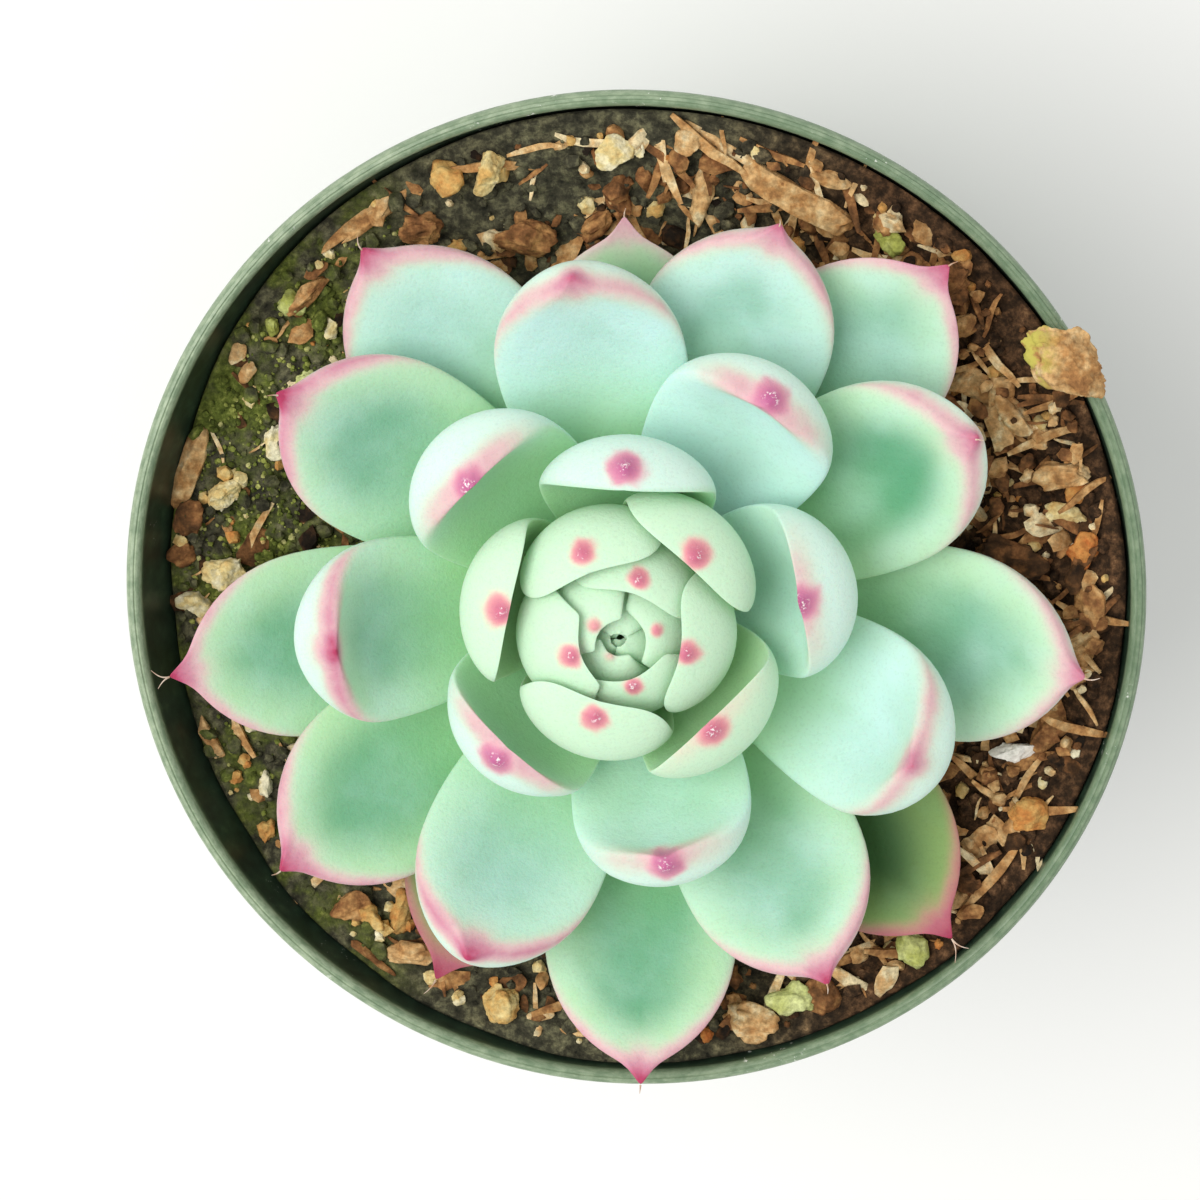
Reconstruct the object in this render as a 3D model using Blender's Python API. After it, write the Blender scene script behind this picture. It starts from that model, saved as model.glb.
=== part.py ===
"""A rosette succulent rooted in a round nursery pot.

The row frame stands on the pot's foot: the origin is the centre of the foot, +Z runs up the
pot's axis and +X points at the side where the soil lies highest. Lengths at the top are in
millimetres and are turned into metres when a mesh is made.

The leaves grow in one spiral, each a little under 137.5 degrees from the last. Every leaf is
given a rank along that spiral, and the space round the stem is divided into nested cups, one
for each rank: shallow cups outside, steep and incurved ones inside. A leaf fills the cups just
below and just above its own rank, so that neighbours follow each other without touching.
"""

import math
import random

import bmesh
import bpy
import numpy as np
from mathutils import Matrix, Vector, noise

MM = 0.001
GAP = 0.35

# Pot, turned about Z
POT_HEIGHT = 90.0
POT_SEGMENTS = 48
FOOT_RADIUS = 37.0
FOOT_WIDTH = 3.5
FOOT_RECESS = 2.0
FLOOR_THICKNESS = 1.6
WALL_THICKNESS = 1.3
COLLAR_HEIGHT = 12.0
COLLAR_STEP = 1.0
WALL_TOP_RADIUS = 49.6
RIM_RADIUS = 52.3
LIP_WIDTH = 2.3
LIP_DEPTH = 2.2
DRAIN_HOLES = 8
DRAIN_RADIUS = 4.0
DRAIN_CIRCLE = 24.0

# Soil surface: its height at the middle, and how much higher each side lies at the wall
SOIL_MIDDLE = 81.0
SOIL_RISE_EAST = 4.2
SOIL_RISE_WEST = 0.6
SOIL_RISE_SOUTH = 3.8
SOIL_RISE_NORTH = 4.2
SOIL_RIPPLE = 0.7
SOIL_RINGS = 7
SOIL_SEGMENTS = 40

# Stem: it ends below the innermost leaf and is rooted in a socket of the soil
STEM_ROOT_DEPTH = 9.0
STEM_SEGMENTS = 16
PLANT_CENTRE = (-0.1, 0.9)

# Leaves, oldest first: compass bearing in degrees, and length as a share of the leaf's own cup
LEAVES = (
    (244, 0.98), (91, 0.76), (314, 1.02), (190, 1.01), (48, 0.97), (272, 1.11),
    (126, 0.97), (353, 1.04), (218, 1.03), (69, 0.98), (299, 1.05), (147, 1.00),
    (29, 1.02), (246, 1.06), (98, 1.00), (336, 1.05), (185, 1.04), (58, 1.00),
    (281, 0.98), (135, 0.94), (11, 0.96), (227, 0.99), (88, 1.00), (315, 1.00),
    (168, 1.00), (48, 1.00), (254, 1.00), (112, 1.00), (351, 1.00), (196, 1.00),
    (72, 1.00), (289, 1.00), (154, 1.00), (17, 1.00), (243, 1.00), (105, 1.00),
    (328, 1.00), (190, 1.00),
)

# The nested cups, at a few ranks: each is a Bezier curve in the plane of radius and height,
# given by where it leaves the stem, where its rim is, its slope at both ends in degrees, and
# how far its rim curls, as a share of its length
CUPS = {
    "rank":        (-6,   1,    6,    12,   18,    21,    24,    28,    32,    36,    40,    44),
    "base_radius": (8.4,  7.4,  6.6,  5.6,  4.6,   4.1,   3.6,   3.0,   2.4,   1.8,   1.2,   0.6),
    "base_height": (82.2, 84.4, 86.0, 88.0, 90.0,  91.0,  92.0,  93.2,  94.4,  95.6,  96.8,  98.0),
    "base_slope":  (-4,   -2,   0,    4,    10,    15,    21,    31,    42,    55,    68,    78),
    "rim_radius":  (45.5, 46.0, 46.0, 39.5, 26.4,  17.8,  12.3,  7.4,   4.6,   2.4,   1.0,   0.3),
    "rim_height":  (86.0, 91.0, 95.0, 99.6, 103.6, 105.4, 106.8, 107.6, 107.2, 105.6, 103.6, 101.6),
    "rim_slope":   (10,   22,   32,   50,   112,   132,   146,   150,   152,   152,   152,   150),
    "rim_curl":    (0.24, 0.24, 0.24, 0.24, 0.24,  0.40,  0.52,  0.60,  0.60,  0.54,  0.44,  0.36),
}
BASE_HANDLE = 0.42

# Leaf shape by rank: half width in mm, the most that half width may wrap round the stem in
# degrees, how many ranks it fills above and below its own, and how full its end is: 0 is a
# pointed arch and 1 is broad and round
LEAF_SHAPE = {
    "rank":       (1,    6,    12,   18,   24,   28,   32,   36,   40),
    "half_width": (9.4,  10.2, 10.0, 9.5,  9.2,  7.8,  6.4,  4.8,  3.4),
    "half_angle": (30,   30,   34,   40,   44,   45,   50,   54,   54),
    "above":      (1.6,  1.8,  1.7,  1.1,  0.9,  0.8,  0.8,  0.8,  0.8),
    "below":      (4.1,  4.1,  3.8,  2.7,  2.3,  2.0,  1.9,  1.8,  1.8),
    "fullness":   (0.0,  0.0,  0.1,  0.3,  0.7,  1.0,  1.0,  1.0,  0.8),
}
WIDEST_AT = 0.62
BASE_WIDTH_SHARE = 0.36
LEAF_SEGMENTS = 12
LEAF_STATIONS = (0.0, 0.03, 0.15, 0.30, 0.45, 0.60, 0.73, 0.84, 0.925, 0.975, 1.0)

# Larger loose pieces of the soil: x, y, length, width and height in mm, turn in degrees
CHIPS = {
    "bark_chunk_on_rim":    (43.6, 26.4, 10.0, 6.4, 4.6, -25),
    "bark_lump_northeast":  (32.0, 33.4, 5.0, 4.6, 4.4, 20),
    "bark_lump_red":        (38.4, 4.0, 9.2, 6.8, 4.0, 35),
    "bark_strip_long":      (17.2, 41.0, 14.5, 4.6, 2.6, -32),
    "bark_stick_north":     (-4.0, 38.2, 5.6, 2.4, 2.2, 40),
    "bark_lump_north":      (-11.2, 36.8, 6.4, 4.6, 3.6, -10),
    "bark_lump_northwest":  (-21.8, 37.4, 4.6, 4.2, 3.4, 0),
    "bark_strip_west":      (-33.6, 31.0, 6.6, 2.4, 2.0, 40),
    "bark_piece_southwest": (-23.4, -39.4, 6.2, 3.2, 2.4, 10),
    "bark_fibrous_east":    (43.6, 13.6, 6.6, 4.4, 2.8, 15),
    "bark_almond_east":     (46.0, 5.4, 4.0, 2.4, 2.2, 70),
    "bark_chip_east":       (45.6, -7.0, 5.0, 2.8, 2.4, 20),
    "pumice_block_west":    (-43.0, 1.0, 4.6, 3.6, 3.0, 5),
    "pumice_lump_west":     (-43.2, 9.4, 4.8, 2.8, 2.6, 30),
    "pumice_heart_north":   (-1.9, 46.0, 4.2, 3.6, 2.6, 0),
    "pumice_lump_south":    (-13.6, -44.6, 4.0, 3.2, 2.6, 30),
    "pumice_north":         (-14.4, 43.6, 4.6, 3.8, 3.0, 60),
    "pumice_orange_east":   (40.8, -22.4, 4.6, 4.0, 2.8, 20),
    "perlite_kidney_east":  (39.6, -15.8, 5.0, 2.8, 2.4, 8),
}
CHIP_COLOURS = {"bark": (0.23, 0.11, 0.05), "pumice": (0.63, 0.42, 0.21), "perlite": (0.78, 0.72, 0.62)}
RIM_CHUNK = "bark_chunk_on_rim"


def clear_scene():
    for obj in list(bpy.data.objects):
        bpy.data.objects.remove(obj, do_unlink=True)


def material(name, colour, roughness):
    made = bpy.data.materials.new(name)
    made.use_nodes = True
    shader = made.node_tree.nodes["Principled BSDF"]
    shader.inputs["Base Color"].default_value = (*colour, 1.0)
    shader.inputs["Roughness"].default_value = roughness
    shader.inputs["Metallic"].default_value = 0.0
    made.diffuse_color = (*colour, 1.0)
    return made


def add_object(name, bm, finish, smooth_angle=40.0):
    """Turns a bmesh in millimetres into an object in metres."""
    bmesh.ops.scale(bm, vec=(MM, MM, MM), verts=bm.verts)
    bmesh.ops.recalc_face_normals(bm, faces=bm.faces)
    mesh = bpy.data.meshes.new(name)
    bm.to_mesh(mesh)
    bm.free()
    mesh.materials.append(finish)
    mesh.shade_smooth()
    mesh.set_sharp_from_angle(angle=math.radians(smooth_angle))
    obj = bpy.data.objects.new(name, mesh)
    bpy.context.scene.collection.objects.link(obj)
    return obj


def turned(profile, segments):
    """A closed body turned about Z from (radius, height) points. Points on the axis close it."""
    bm = bmesh.new()
    points = [bm.verts.new((radius, 0.0, height)) for radius, height in profile]
    edges = [bm.edges.new(pair) for pair in zip(points, points[1:])]
    if profile[0][0] > 0:
        edges.append(bm.edges.new((points[-1], points[0])))
    bmesh.ops.spin(
        bm, geom=points + edges, cent=(0, 0, 0), axis=(0, 0, 1),
        angle=2 * math.pi, steps=segments, use_merge=True, use_duplicate=False,
    )
    bmesh.ops.remove_doubles(bm, verts=bm.verts, dist=1e-4)
    return bm


def inner_wall_radius(height):
    """Radius of the pot's inner wall: it tapers, and widens a little faster up the collar."""
    heights = (0.0, POT_HEIGHT - COLLAR_HEIGHT, POT_HEIGHT - LIP_DEPTH)
    outer = (FOOT_RADIUS, WALL_TOP_RADIUS, RIM_RADIUS - LIP_WIDTH + WALL_THICKNESS)
    return float(np.interp(height, heights, outer)) - WALL_THICKNESS


def pot_profile():
    """Foot, wall, collar and rolled lip, from the foot's inner corner round to the floor."""
    collar_foot = POT_HEIGHT - COLLAR_HEIGHT
    floor_top = FOOT_RECESS + FLOOR_THICKNESS
    lip_inside = RIM_RADIUS - LIP_WIDTH
    lip_round = LIP_DEPTH / 2
    lip_middle = RIM_RADIUS - LIP_WIDTH / 2
    profile = [
        (0.0, FOOT_RECESS),
        (FOOT_RADIUS - FOOT_WIDTH, FOOT_RECESS),
        (FOOT_RADIUS - FOOT_WIDTH + 0.4, 0.0),
        (FOOT_RADIUS - 0.6, 0.0),
        (FOOT_RADIUS, 0.6),
        (WALL_TOP_RADIUS, collar_foot),
        (WALL_TOP_RADIUS + COLLAR_STEP, collar_foot + COLLAR_STEP),
        (RIM_RADIUS - 0.7, POT_HEIGHT - LIP_DEPTH),
    ]
    for turn in (-45, 0, 45, 90, 135, 180):
        across = math.cos(math.radians(turn)) * LIP_WIDTH / 2
        up = math.sin(math.radians(turn)) * lip_round
        profile.append((lip_middle + across, POT_HEIGHT - lip_round + up))
    profile += [
        (lip_inside, POT_HEIGHT - LIP_DEPTH),
        (inner_wall_radius(collar_foot), collar_foot),
        (inner_wall_radius(floor_top), floor_top),
        (0.0, floor_top),
    ]
    return profile


def drain_cutter():
    """One hidden cutter holding a drill for each drainage hole in the floor."""
    bm = bmesh.new()
    for hole in range(DRAIN_HOLES):
        turn = 2 * math.pi * (hole + 0.5) / DRAIN_HOLES
        place = Matrix.Translation(
            (DRAIN_CIRCLE * math.cos(turn), DRAIN_CIRCLE * math.sin(turn), FOOT_RECESS)
        )
        bmesh.ops.create_cone(
            bm, cap_ends=True, segments=12, radius1=DRAIN_RADIUS, radius2=DRAIN_RADIUS,
            depth=3 * FLOOR_THICKNESS + 2, matrix=place,
        )
    cutter = add_object("drain_cutter", bm, material("cutter", (1, 0, 0), 1.0))
    cutter.hide_render = True
    cutter.display_type = "WIRE"
    return cutter


def make_pot():
    plastic = material("pot_plastic", (0.16, 0.27, 0.18), 0.5)
    pot = add_object("pot", turned(pot_profile(), POT_SEGMENTS), plastic, 30.0)
    drill = pot.modifiers.new("drain_holes", "BOOLEAN")
    drill.operation = "DIFFERENCE"
    drill.object = drain_cutter()
    return pot


def soil_height(x, y):
    """Height of the soil surface: low under the leaves, rising towards the pot's wall."""
    out = min(math.hypot(x, y) / 45.0, 1.1)
    bearing = math.atan2(y, x)
    east, north = math.cos(bearing), math.sin(bearing)
    rise = SOIL_RISE_EAST * max(east, 0) ** 2 + SOIL_RISE_WEST * max(-east, 0) ** 2
    rise += SOIL_RISE_NORTH * max(north, 0) ** 2 + SOIL_RISE_SOUTH * max(-north, 0) ** 2
    ripple = noise.noise(Vector((x, y, 3.0)) * 0.12) * SOIL_RIPPLE
    return SOIL_MIDDLE + rise * out**3 + ripple * min(1.0, out * 2)


def stem_radius(height):
    """The stem fills the inside of the curve on which the leaf bases sit."""
    return float(np.interp(height, CUPS["base_height"], CUPS["base_radius"])) - GAP


def make_soil():
    """A plug that fills the pot: uneven on top, with a socket for the stem."""
    floor = FOOT_RECESS + FLOOR_THICKNESS + GAP
    shoulder = POT_HEIGHT - COLLAR_HEIGHT
    socket = stem_radius(CUPS["base_height"][0]) + GAP
    bm = bmesh.new()
    loops = []

    def add_loop(radius_at, height_at, centre=(0.0, 0.0)):
        loop = []
        for step in range(SOIL_SEGMENTS):
            turn = 2 * math.pi * step / SOIL_SEGMENTS
            radius = radius_at(turn)
            x = centre[0] + radius * math.cos(turn)
            y = centre[1] + radius * math.sin(turn)
            loop.append(bm.verts.new((x, y, height_at(x, y))))
        loops.append(loop)

    def edge_radius(turn):
        edge = inner_wall_radius(shoulder)
        height = soil_height(edge * math.cos(turn), edge * math.sin(turn))
        return inner_wall_radius(height) - GAP

    add_loop(lambda turn: socket, lambda x, y: SOIL_MIDDLE - STEM_ROOT_DEPTH - GAP, PLANT_CENTRE)
    for ring in range(SOIL_RINGS + 1):
        out = ring / SOIL_RINGS
        centre = (PLANT_CENTRE[0] * (1 - out), PLANT_CENTRE[1] * (1 - out))
        add_loop(lambda turn: socket + (edge_radius(turn) - socket) * out, soil_height, centre)
    for height in (shoulder, floor):
        add_loop(lambda turn: inner_wall_radius(height) - GAP, lambda x, y: height)
    for lower, upper in zip(loops, loops[1:]):
        for step in range(SOIL_SEGMENTS):
            after = (step + 1) % SOIL_SEGMENTS
            bm.faces.new((lower[step], lower[after], upper[after], upper[step]))
    bm.faces.new(loops[0])
    bm.faces.new(loops[-1])
    return add_object("soil", bm, material("soil", (0.05, 0.04, 0.03), 0.95), 60.0)


def make_stem():
    """A short tapered stem under the leaf bases, rooted in the soil."""
    foot_radius = stem_radius(CUPS["base_height"][0])
    profile = [
        (0.0, SOIL_MIDDLE - STEM_ROOT_DEPTH),
        (foot_radius, SOIL_MIDDLE - STEM_ROOT_DEPTH),
    ]
    tops = CUPS["base_height"][:-1]
    profile += [(stem_radius(height), height) for height in tops]
    profile.append((0.0, tops[-1] + 0.5))
    bm = turned(profile, STEM_SEGMENTS)
    bmesh.ops.translate(bm, vec=(*PLANT_CENTRE, 0.0), verts=bm.verts)
    return add_object("stem", bm, material("stem", (0.30, 0.36, 0.16), 0.7))


def along(table, key, rank):
    return float(np.interp(rank, table["rank"], table[key]))


def cup_point(rank, share):
    """(radius, height) on the cup of this rank, at a share of the way from stem to rim."""
    base = np.array([along(CUPS, "base_radius", rank), along(CUPS, "base_height", rank)])
    rim = np.array([along(CUPS, "rim_radius", rank), along(CUPS, "rim_height", rank)])
    start = math.radians(along(CUPS, "base_slope", rank))
    end = math.radians(along(CUPS, "rim_slope", rank))
    chord = float(np.linalg.norm(rim - base))
    out = base + BASE_HANDLE * chord * np.array([math.cos(start), math.sin(start)])
    handle = along(CUPS, "rim_curl", rank) * chord
    back = rim - handle * np.array([math.cos(end), math.sin(end)])
    rest = 1 - share
    return (
        rest**3 * base + 3 * rest**2 * share * out
        + 3 * rest * share**2 * back + share**3 * rim
    )


def width_share(share, fullness):
    """Outline of a leaf: a narrow base, widest past the middle, and a pointed arch at the tip."""
    if share < WIDEST_AT:
        swell = math.sin(math.pi / 2 * share / WIDEST_AT) ** 1.2
        return BASE_WIDTH_SHARE + (1 - BASE_WIDTH_SHARE) * swell
    past = (share - WIDEST_AT) / (1 - WIDEST_AT)
    return (1 - min(past, 1.0) ** (2.2 + fullness)) ** (0.75 - 0.25 * fullness)


def thickness_share(share):
    """A leaf is thin where it joins the stem and has a blunt, rounded end."""
    return (0.6 + 0.4 * min(share / 0.35, 1.0)) * math.sqrt(max(1 - share**4, 0.0))


def leaf_point(rank, bearing, length, share, across, side):
    """A point of a leaf. across runs from -1 to 1 between its margins and side is -1 on the
    underside, 0 at the margin and 1 on the upper face."""
    reach = "above" if side > 0 else "below"
    ranks_off = side * along(LEAF_SHAPE, reach, rank) * thickness_share(share)
    radius, height = cup_point(rank + ranks_off, share * length)
    fullness = along(LEAF_SHAPE, "fullness", rank)
    half_width = along(LEAF_SHAPE, "half_width", rank) * width_share(share, fullness)
    most_wrap = math.radians(along(LEAF_SHAPE, "half_angle", rank))
    half_angle = min(half_width / max(radius, 0.5), most_wrap)
    turn = math.radians(bearing) + across * half_angle
    return Vector((
        PLANT_CENTRE[0] + radius * math.cos(turn),
        PLANT_CENTRE[1] + radius * math.sin(turn),
        height,
    ))


def make_leaf(number, bearing, length, finish):
    """A leaf blank is a ball with its poles at the base and the tip, carried to its place."""
    bm = bmesh.new()
    stations = len(LEAF_STATIONS) - 1
    bmesh.ops.create_uvsphere(bm, u_segments=LEAF_SEGMENTS, v_segments=stations, radius=1.0)
    for vert in bm.verts:
        level = math.acos(max(-1.0, min(1.0, -vert.co.z))) / math.pi * stations
        share = float(np.interp(level, range(stations + 1), LEAF_STATIONS))
        ring = math.hypot(vert.co.x, vert.co.y)
        across = vert.co.x / ring if ring > 1e-6 else 0.0
        side = vert.co.y / ring if ring > 1e-6 else 0.0
        vert.co = leaf_point(number, bearing, length, share, across, side)
    return add_object(f"leaf_{number:02d}", bm, finish, 70.0)


def make_leaves():
    young = material("leaf_young", (0.56, 0.80, 0.60), 0.6)
    grown = material("leaf_grown", (0.45, 0.74, 0.62), 0.6)
    old = material("leaf_old", (0.20, 0.35, 0.16), 0.6)
    for number, (bearing, length) in enumerate(LEAVES, start=1):
        finish = old if number <= 3 else grown if number <= 23 else young
        make_leaf(number, bearing, length, finish)


def make_chip(name, x, y, length, width, height, turn):
    """A rough lump, resting on the soil or, for the largest, on the pot's rim."""
    seed = random.Random(name)
    bm = bmesh.new()
    bmesh.ops.create_icosphere(bm, subdivisions=2, radius=1.0)
    offset = Vector([seed.uniform(-50, 50) for _ in range(3)])
    for vert in bm.verts:
        direction = vert.co.normalized()
        blocky = direction / max(abs(c) for c in direction)
        rough = 1 + 0.16 * noise.noise(direction * 1.9 + offset)
        vert.co = direction.lerp(blocky, 0.35) * rough
        vert.co = Vector((vert.co.x * length, vert.co.y * width, vert.co.z * height)) / 2.3
    bmesh.ops.rotate(bm, verts=bm.verts, matrix=Matrix.Rotation(math.radians(turn), 3, "Z"))
    bmesh.ops.translate(bm, verts=bm.verts, vec=(x, y, 0.0))
    if name == RIM_CHUNK:
        lift = POT_HEIGHT + GAP - min(v.co.z for v in bm.verts)
    else:
        lift = max(soil_height(v.co.x, v.co.y) - v.co.z for v in bm.verts if v.co.z < 0) + GAP
    bmesh.ops.translate(bm, verts=bm.verts, vec=(0.0, 0.0, lift))
    kind = name.split("_")[0]
    return add_object(name, bm, material(name, CHIP_COLOURS[kind], 0.9), 50.0)


def main():
    clear_scene()
    make_pot()
    make_soil()
    make_stem()
    make_leaves()
    for name, place in CHIPS.items():
        make_chip(name, *place)


main()
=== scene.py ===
# %% [markdown]
# # A potted rosette succulent
#
# The plant is a living rosette: thirty-eight fleshy leaves on one spiral, with three tiny ones
# in the middle of the bud, in a green nursery pot of bark and pumice mix. The engineering model
# is loaded first. It fixes the size and place of every piece, and everything made here is fitted
# round it, in metres, with +Z up.

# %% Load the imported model
import math
import random

import bpy
import numpy as np
from mathutils import Matrix, Vector, noise


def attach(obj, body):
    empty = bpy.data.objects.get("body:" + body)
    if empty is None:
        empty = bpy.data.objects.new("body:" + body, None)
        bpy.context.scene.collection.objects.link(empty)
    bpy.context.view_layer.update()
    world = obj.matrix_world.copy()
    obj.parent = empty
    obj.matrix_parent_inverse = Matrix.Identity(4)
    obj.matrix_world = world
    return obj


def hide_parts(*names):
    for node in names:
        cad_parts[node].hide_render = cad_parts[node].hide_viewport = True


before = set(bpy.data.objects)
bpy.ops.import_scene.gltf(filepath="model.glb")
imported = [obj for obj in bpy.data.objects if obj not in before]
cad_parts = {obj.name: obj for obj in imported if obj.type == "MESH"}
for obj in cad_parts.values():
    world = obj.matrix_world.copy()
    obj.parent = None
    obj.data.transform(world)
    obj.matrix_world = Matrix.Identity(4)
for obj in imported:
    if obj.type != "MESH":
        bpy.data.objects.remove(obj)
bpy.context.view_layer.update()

MM = 0.001

# %% [markdown]
# ## Camera
#
# The plant is seen from almost straight above, tipped a little towards the viewer, so the leaves
# show as a flower and the inside of the pot's wall shows on the left. A moderately long lens
# from under half a metre keeps some perspective in the rosette.

# %% Place the camera
CAMERA_PLACE = Vector((0.02312, 0.08538, 0.43898))
CAMERA_BACK = Vector((0.07289, 0.23566, 0.96909)).normalized()
CAMERA_LENS = 105.73

camera = bpy.data.objects.new("camera", bpy.data.cameras.new("camera"))
bpy.context.scene.collection.objects.link(camera)
bpy.context.scene.camera = camera
right = Vector((0, 1, 0)).cross(CAMERA_BACK).normalized()
above = CAMERA_BACK.cross(right)
camera.matrix_world = Matrix.Translation(CAMERA_PLACE) @ Matrix(
    (right, above, CAMERA_BACK)).transposed().to_4x4()
camera.data.lens = CAMERA_LENS
print("camera height above the floor in mm:", round(CAMERA_PLACE.z / MM))

# %% [markdown]
# ## Floor and light
#
# A plain pale floor and one broad soft light, high on the left, under an even pale sky. The sky
# fills the shade between the leaves, as daylight near a window does, and the broad light gives
# the leaves their soft modelling. The standard view keeps the pale greens clean.


# %% Helpers that select and deselect
def deselect():
    """Everything off, so that the next operator acts on one piece."""
    if bpy.context.mode != "OBJECT":
        bpy.ops.object.mode_set(mode="OBJECT")
    bpy.ops.object.select_all(action="DESELECT")


def select(*pieces):
    """Only these pieces selected, with the first one active."""
    deselect()
    for piece in pieces:
        piece.select_set(True)
    bpy.context.view_layer.objects.active = pieces[0]


# %% Floor
deselect()
bpy.ops.mesh.primitive_plane_add(size=6.0, location=(0, 0, 0))
floor = bpy.context.object
floor.name = "floor"

# %% Sky and softbox
scene = bpy.context.scene
scene.view_settings.view_transform = "Standard"
sky = bpy.data.worlds.new("even_sky")
scene.world = sky
sky.use_nodes = True
SKY_STRENGTH = 0.76
sky_light = sky.node_tree.nodes["Background"].inputs
sky_light["Color"].default_value = (1.0, 1.0, 1.0, 1.0)
sky_light["Strength"].default_value = SKY_STRENGTH


def softbox(name, place, aim, size, watts, colour):
    """A round soft light at place, turned towards aim, with sizes in metres."""
    light = bpy.data.lights.new(name, "AREA")
    light.shape = "DISK"
    light.size = size
    light.energy = watts
    light.color = colour
    holder = bpy.data.objects.new(name, light)
    scene.collection.objects.link(holder)
    holder.location = place
    holder.rotation_euler = (Vector(aim) - Vector(place)).to_track_quat("-Z", "Y").to_euler()


softbox("window_light", place=(-0.58, 0.12, 1.06), aim=(0, 0, 0.09), size=1.00, watts=9.2,
        colour=(1.0, 0.99, 0.97))
print("sky and one softbox made")

# %% [markdown]
# ## How materials are written here
#
# Every finish is a Principled surface with a few texture nodes. Three small helpers keep them
# short: one turns an sRGB hex colour into the linear numbers Blender works in, one adds a node
# with its settings and links, and one starts a material. Pattern sizes are given in millimetres.


# %% Colour and node helpers
def linear(hex_colour):
    """An sRGB hex colour as the linear RGBA that sockets take."""
    parts = [int(hex_colour[i:i + 2], 16) / 255 for i in (1, 3, 5)]
    return (*[p / 12.92 if p <= 0.04045 else ((p + 0.055) / 1.055) ** 2.4 for p in parts], 1.0)


def add_node(tree, kind, inputs=None, **settings):
    """Adds a node, sets its settings, and links or sets its inputs."""
    made = tree.nodes.new(kind)
    for key, value in settings.items():
        setattr(made, key, value)
    for socket, value in (inputs or {}).items():
        if isinstance(value, bpy.types.NodeSocket):
            tree.links.new(value, made.inputs[socket])
        else:
            made.inputs[socket].default_value = value
    return made


def new_material(name, **surface):
    """A named material and its tree, with the constant values set on the shader itself."""
    material = bpy.data.materials.new(name)
    material.use_nodes = True
    shader = material.node_tree.nodes["Principled BSDF"]
    for socket, value in surface.items():
        shader.inputs[socket.replace("_", " ")].default_value = value
    return material, material.node_tree, shader


# %% Texture helpers
def noise_of(tree, size_mm, detail=2.0, roughness=0.5, squeeze=(1, 1, 1)):
    """A noise pattern in Object space whose blobs are about size_mm across, from 0 to 1."""
    place = add_node(tree, "ShaderNodeTexCoord").outputs["Object"]
    place = add_node(tree, "ShaderNodeMapping", {
        "Vector": place, "Scale": squeeze}).outputs["Vector"]
    return add_node(tree, "ShaderNodeTexNoise", {
        "Vector": place, "Scale": 1 / (size_mm * MM), "Detail": detail,
        "Roughness": roughness}).outputs["Fac"]


def ramp(tree, factor, stops):
    """A colour ramp through (place, hex colour) stops."""
    made = add_node(tree, "ShaderNodeValToRGB", {"Fac": factor})
    elements = made.color_ramp.elements
    while len(elements) < len(stops):
        elements.new(0.5)
    for element, (place, colour) in zip(elements, stops):
        element.position = place
        element.color = linear(colour)
    return made.outputs["Color"]


def spread(tree, value, low, high, to_low=0.0, to_high=1.0):
    """value mapped from low..high, smoothly and clamped."""
    return add_node(tree, "ShaderNodeMapRange", {
        "Value": value, "From Min": low, "From Max": high, "To Min": to_low,
        "To Max": to_high}, interpolation_type="SMOOTHSTEP").outputs["Result"]


def maths(tree, operation, a, b, clamp=False):
    """One sum or product of two values or sockets."""
    return add_node(tree, "ShaderNodeMath", {0: a, 1: b}, operation=operation,
                    use_clamp=clamp).outputs["Value"]


def mixed(tree, factor, a, b, blend="MIX"):
    """Colour b over colour a. Each is a hex colour or a socket."""
    colours = [linear(c) if isinstance(c, str) else c for c in (a, b)]
    return add_node(tree, "ShaderNodeMix", {0: factor, 6: colours[0], 7: colours[1]},
                    data_type="RGBA", blend_type=blend).outputs[2]


def bumped(tree, shader, height, strength, distance_mm):
    """Fine relief in the shading, for what is too small to model."""
    bump = add_node(tree, "ShaderNodeBump", {
        "Height": height, "Strength": strength, "Distance": distance_mm * MM})
    tree.links.new(bump.outputs["Normal"], shader.inputs["Normal"])


def attribute(tree, name):
    """A value that is stored on the vertices of each piece."""
    return add_node(tree, "ShaderNodeAttribute", attribute_name=name).outputs["Fac"]


# %% Floor material
floor_paint, _, _ = new_material("matt_white_board", Base_Color=linear("#F4F4F2"), Roughness=0.9)
floor.data.materials.append(floor_paint)

# %% [markdown]
# ## The leaves: one spiral, nested cups
#
# A rosette grows one leaf after another, each about 137.5 degrees round from the last. Leaves of
# the same age lie on one bowl-shaped surface, and the bowls nest: flat and wide for the old
# outer leaves, upright and closing over for the bud. So each leaf is a piece cut from its own
# bowl, thick in the middle and rounded at its margin. A leaf can't be modelled well by
# extruding, so a ball blank is added once, with a pole at the base and one at the tip, and each
# copy has its vertices carried onto the bowl by a formula.

# %% The spiral: bearing in degrees and length, oldest leaf first
LEAVES = (
    (244, 0.94), (91, 0.70), (314, 1.02), (190, 1.00), (48, 0.98), (272, 1.11), (126, 0.92),
    (353, 1.03), (218, 1.01), (69, 0.93), (299, 1.03), (147, 0.97), (29, 1.01), (246, 1.09),
    (98, 1.00), (336, 1.10), (185, 1.08), (58, 1.00), (281, 0.98), (135, 1.00), (11, 0.98),
    (227, 0.99), (88, 0.98), (315, 1.00), (168, 1.00), (48, 0.98), (254, 1.08), (112, 0.99),
    (351, 1.00), (196, 1.07), (72, 0.98), (289, 1.00), (142, 1.05), (17, 0.98), (243, 1.00),
    (88, 1.01), (322, 1.00), (190, 0.97))
CORE_LEAVES = ((53, 1.0), (275, 1.0), (138, 1.0))   # the youngest, which close the middle
PLANT_CENTRE = (-0.1, 0.9)
BUD_LEAN = (0.0, -0.5)   # how far the middle of the bud leans, in mm

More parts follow.
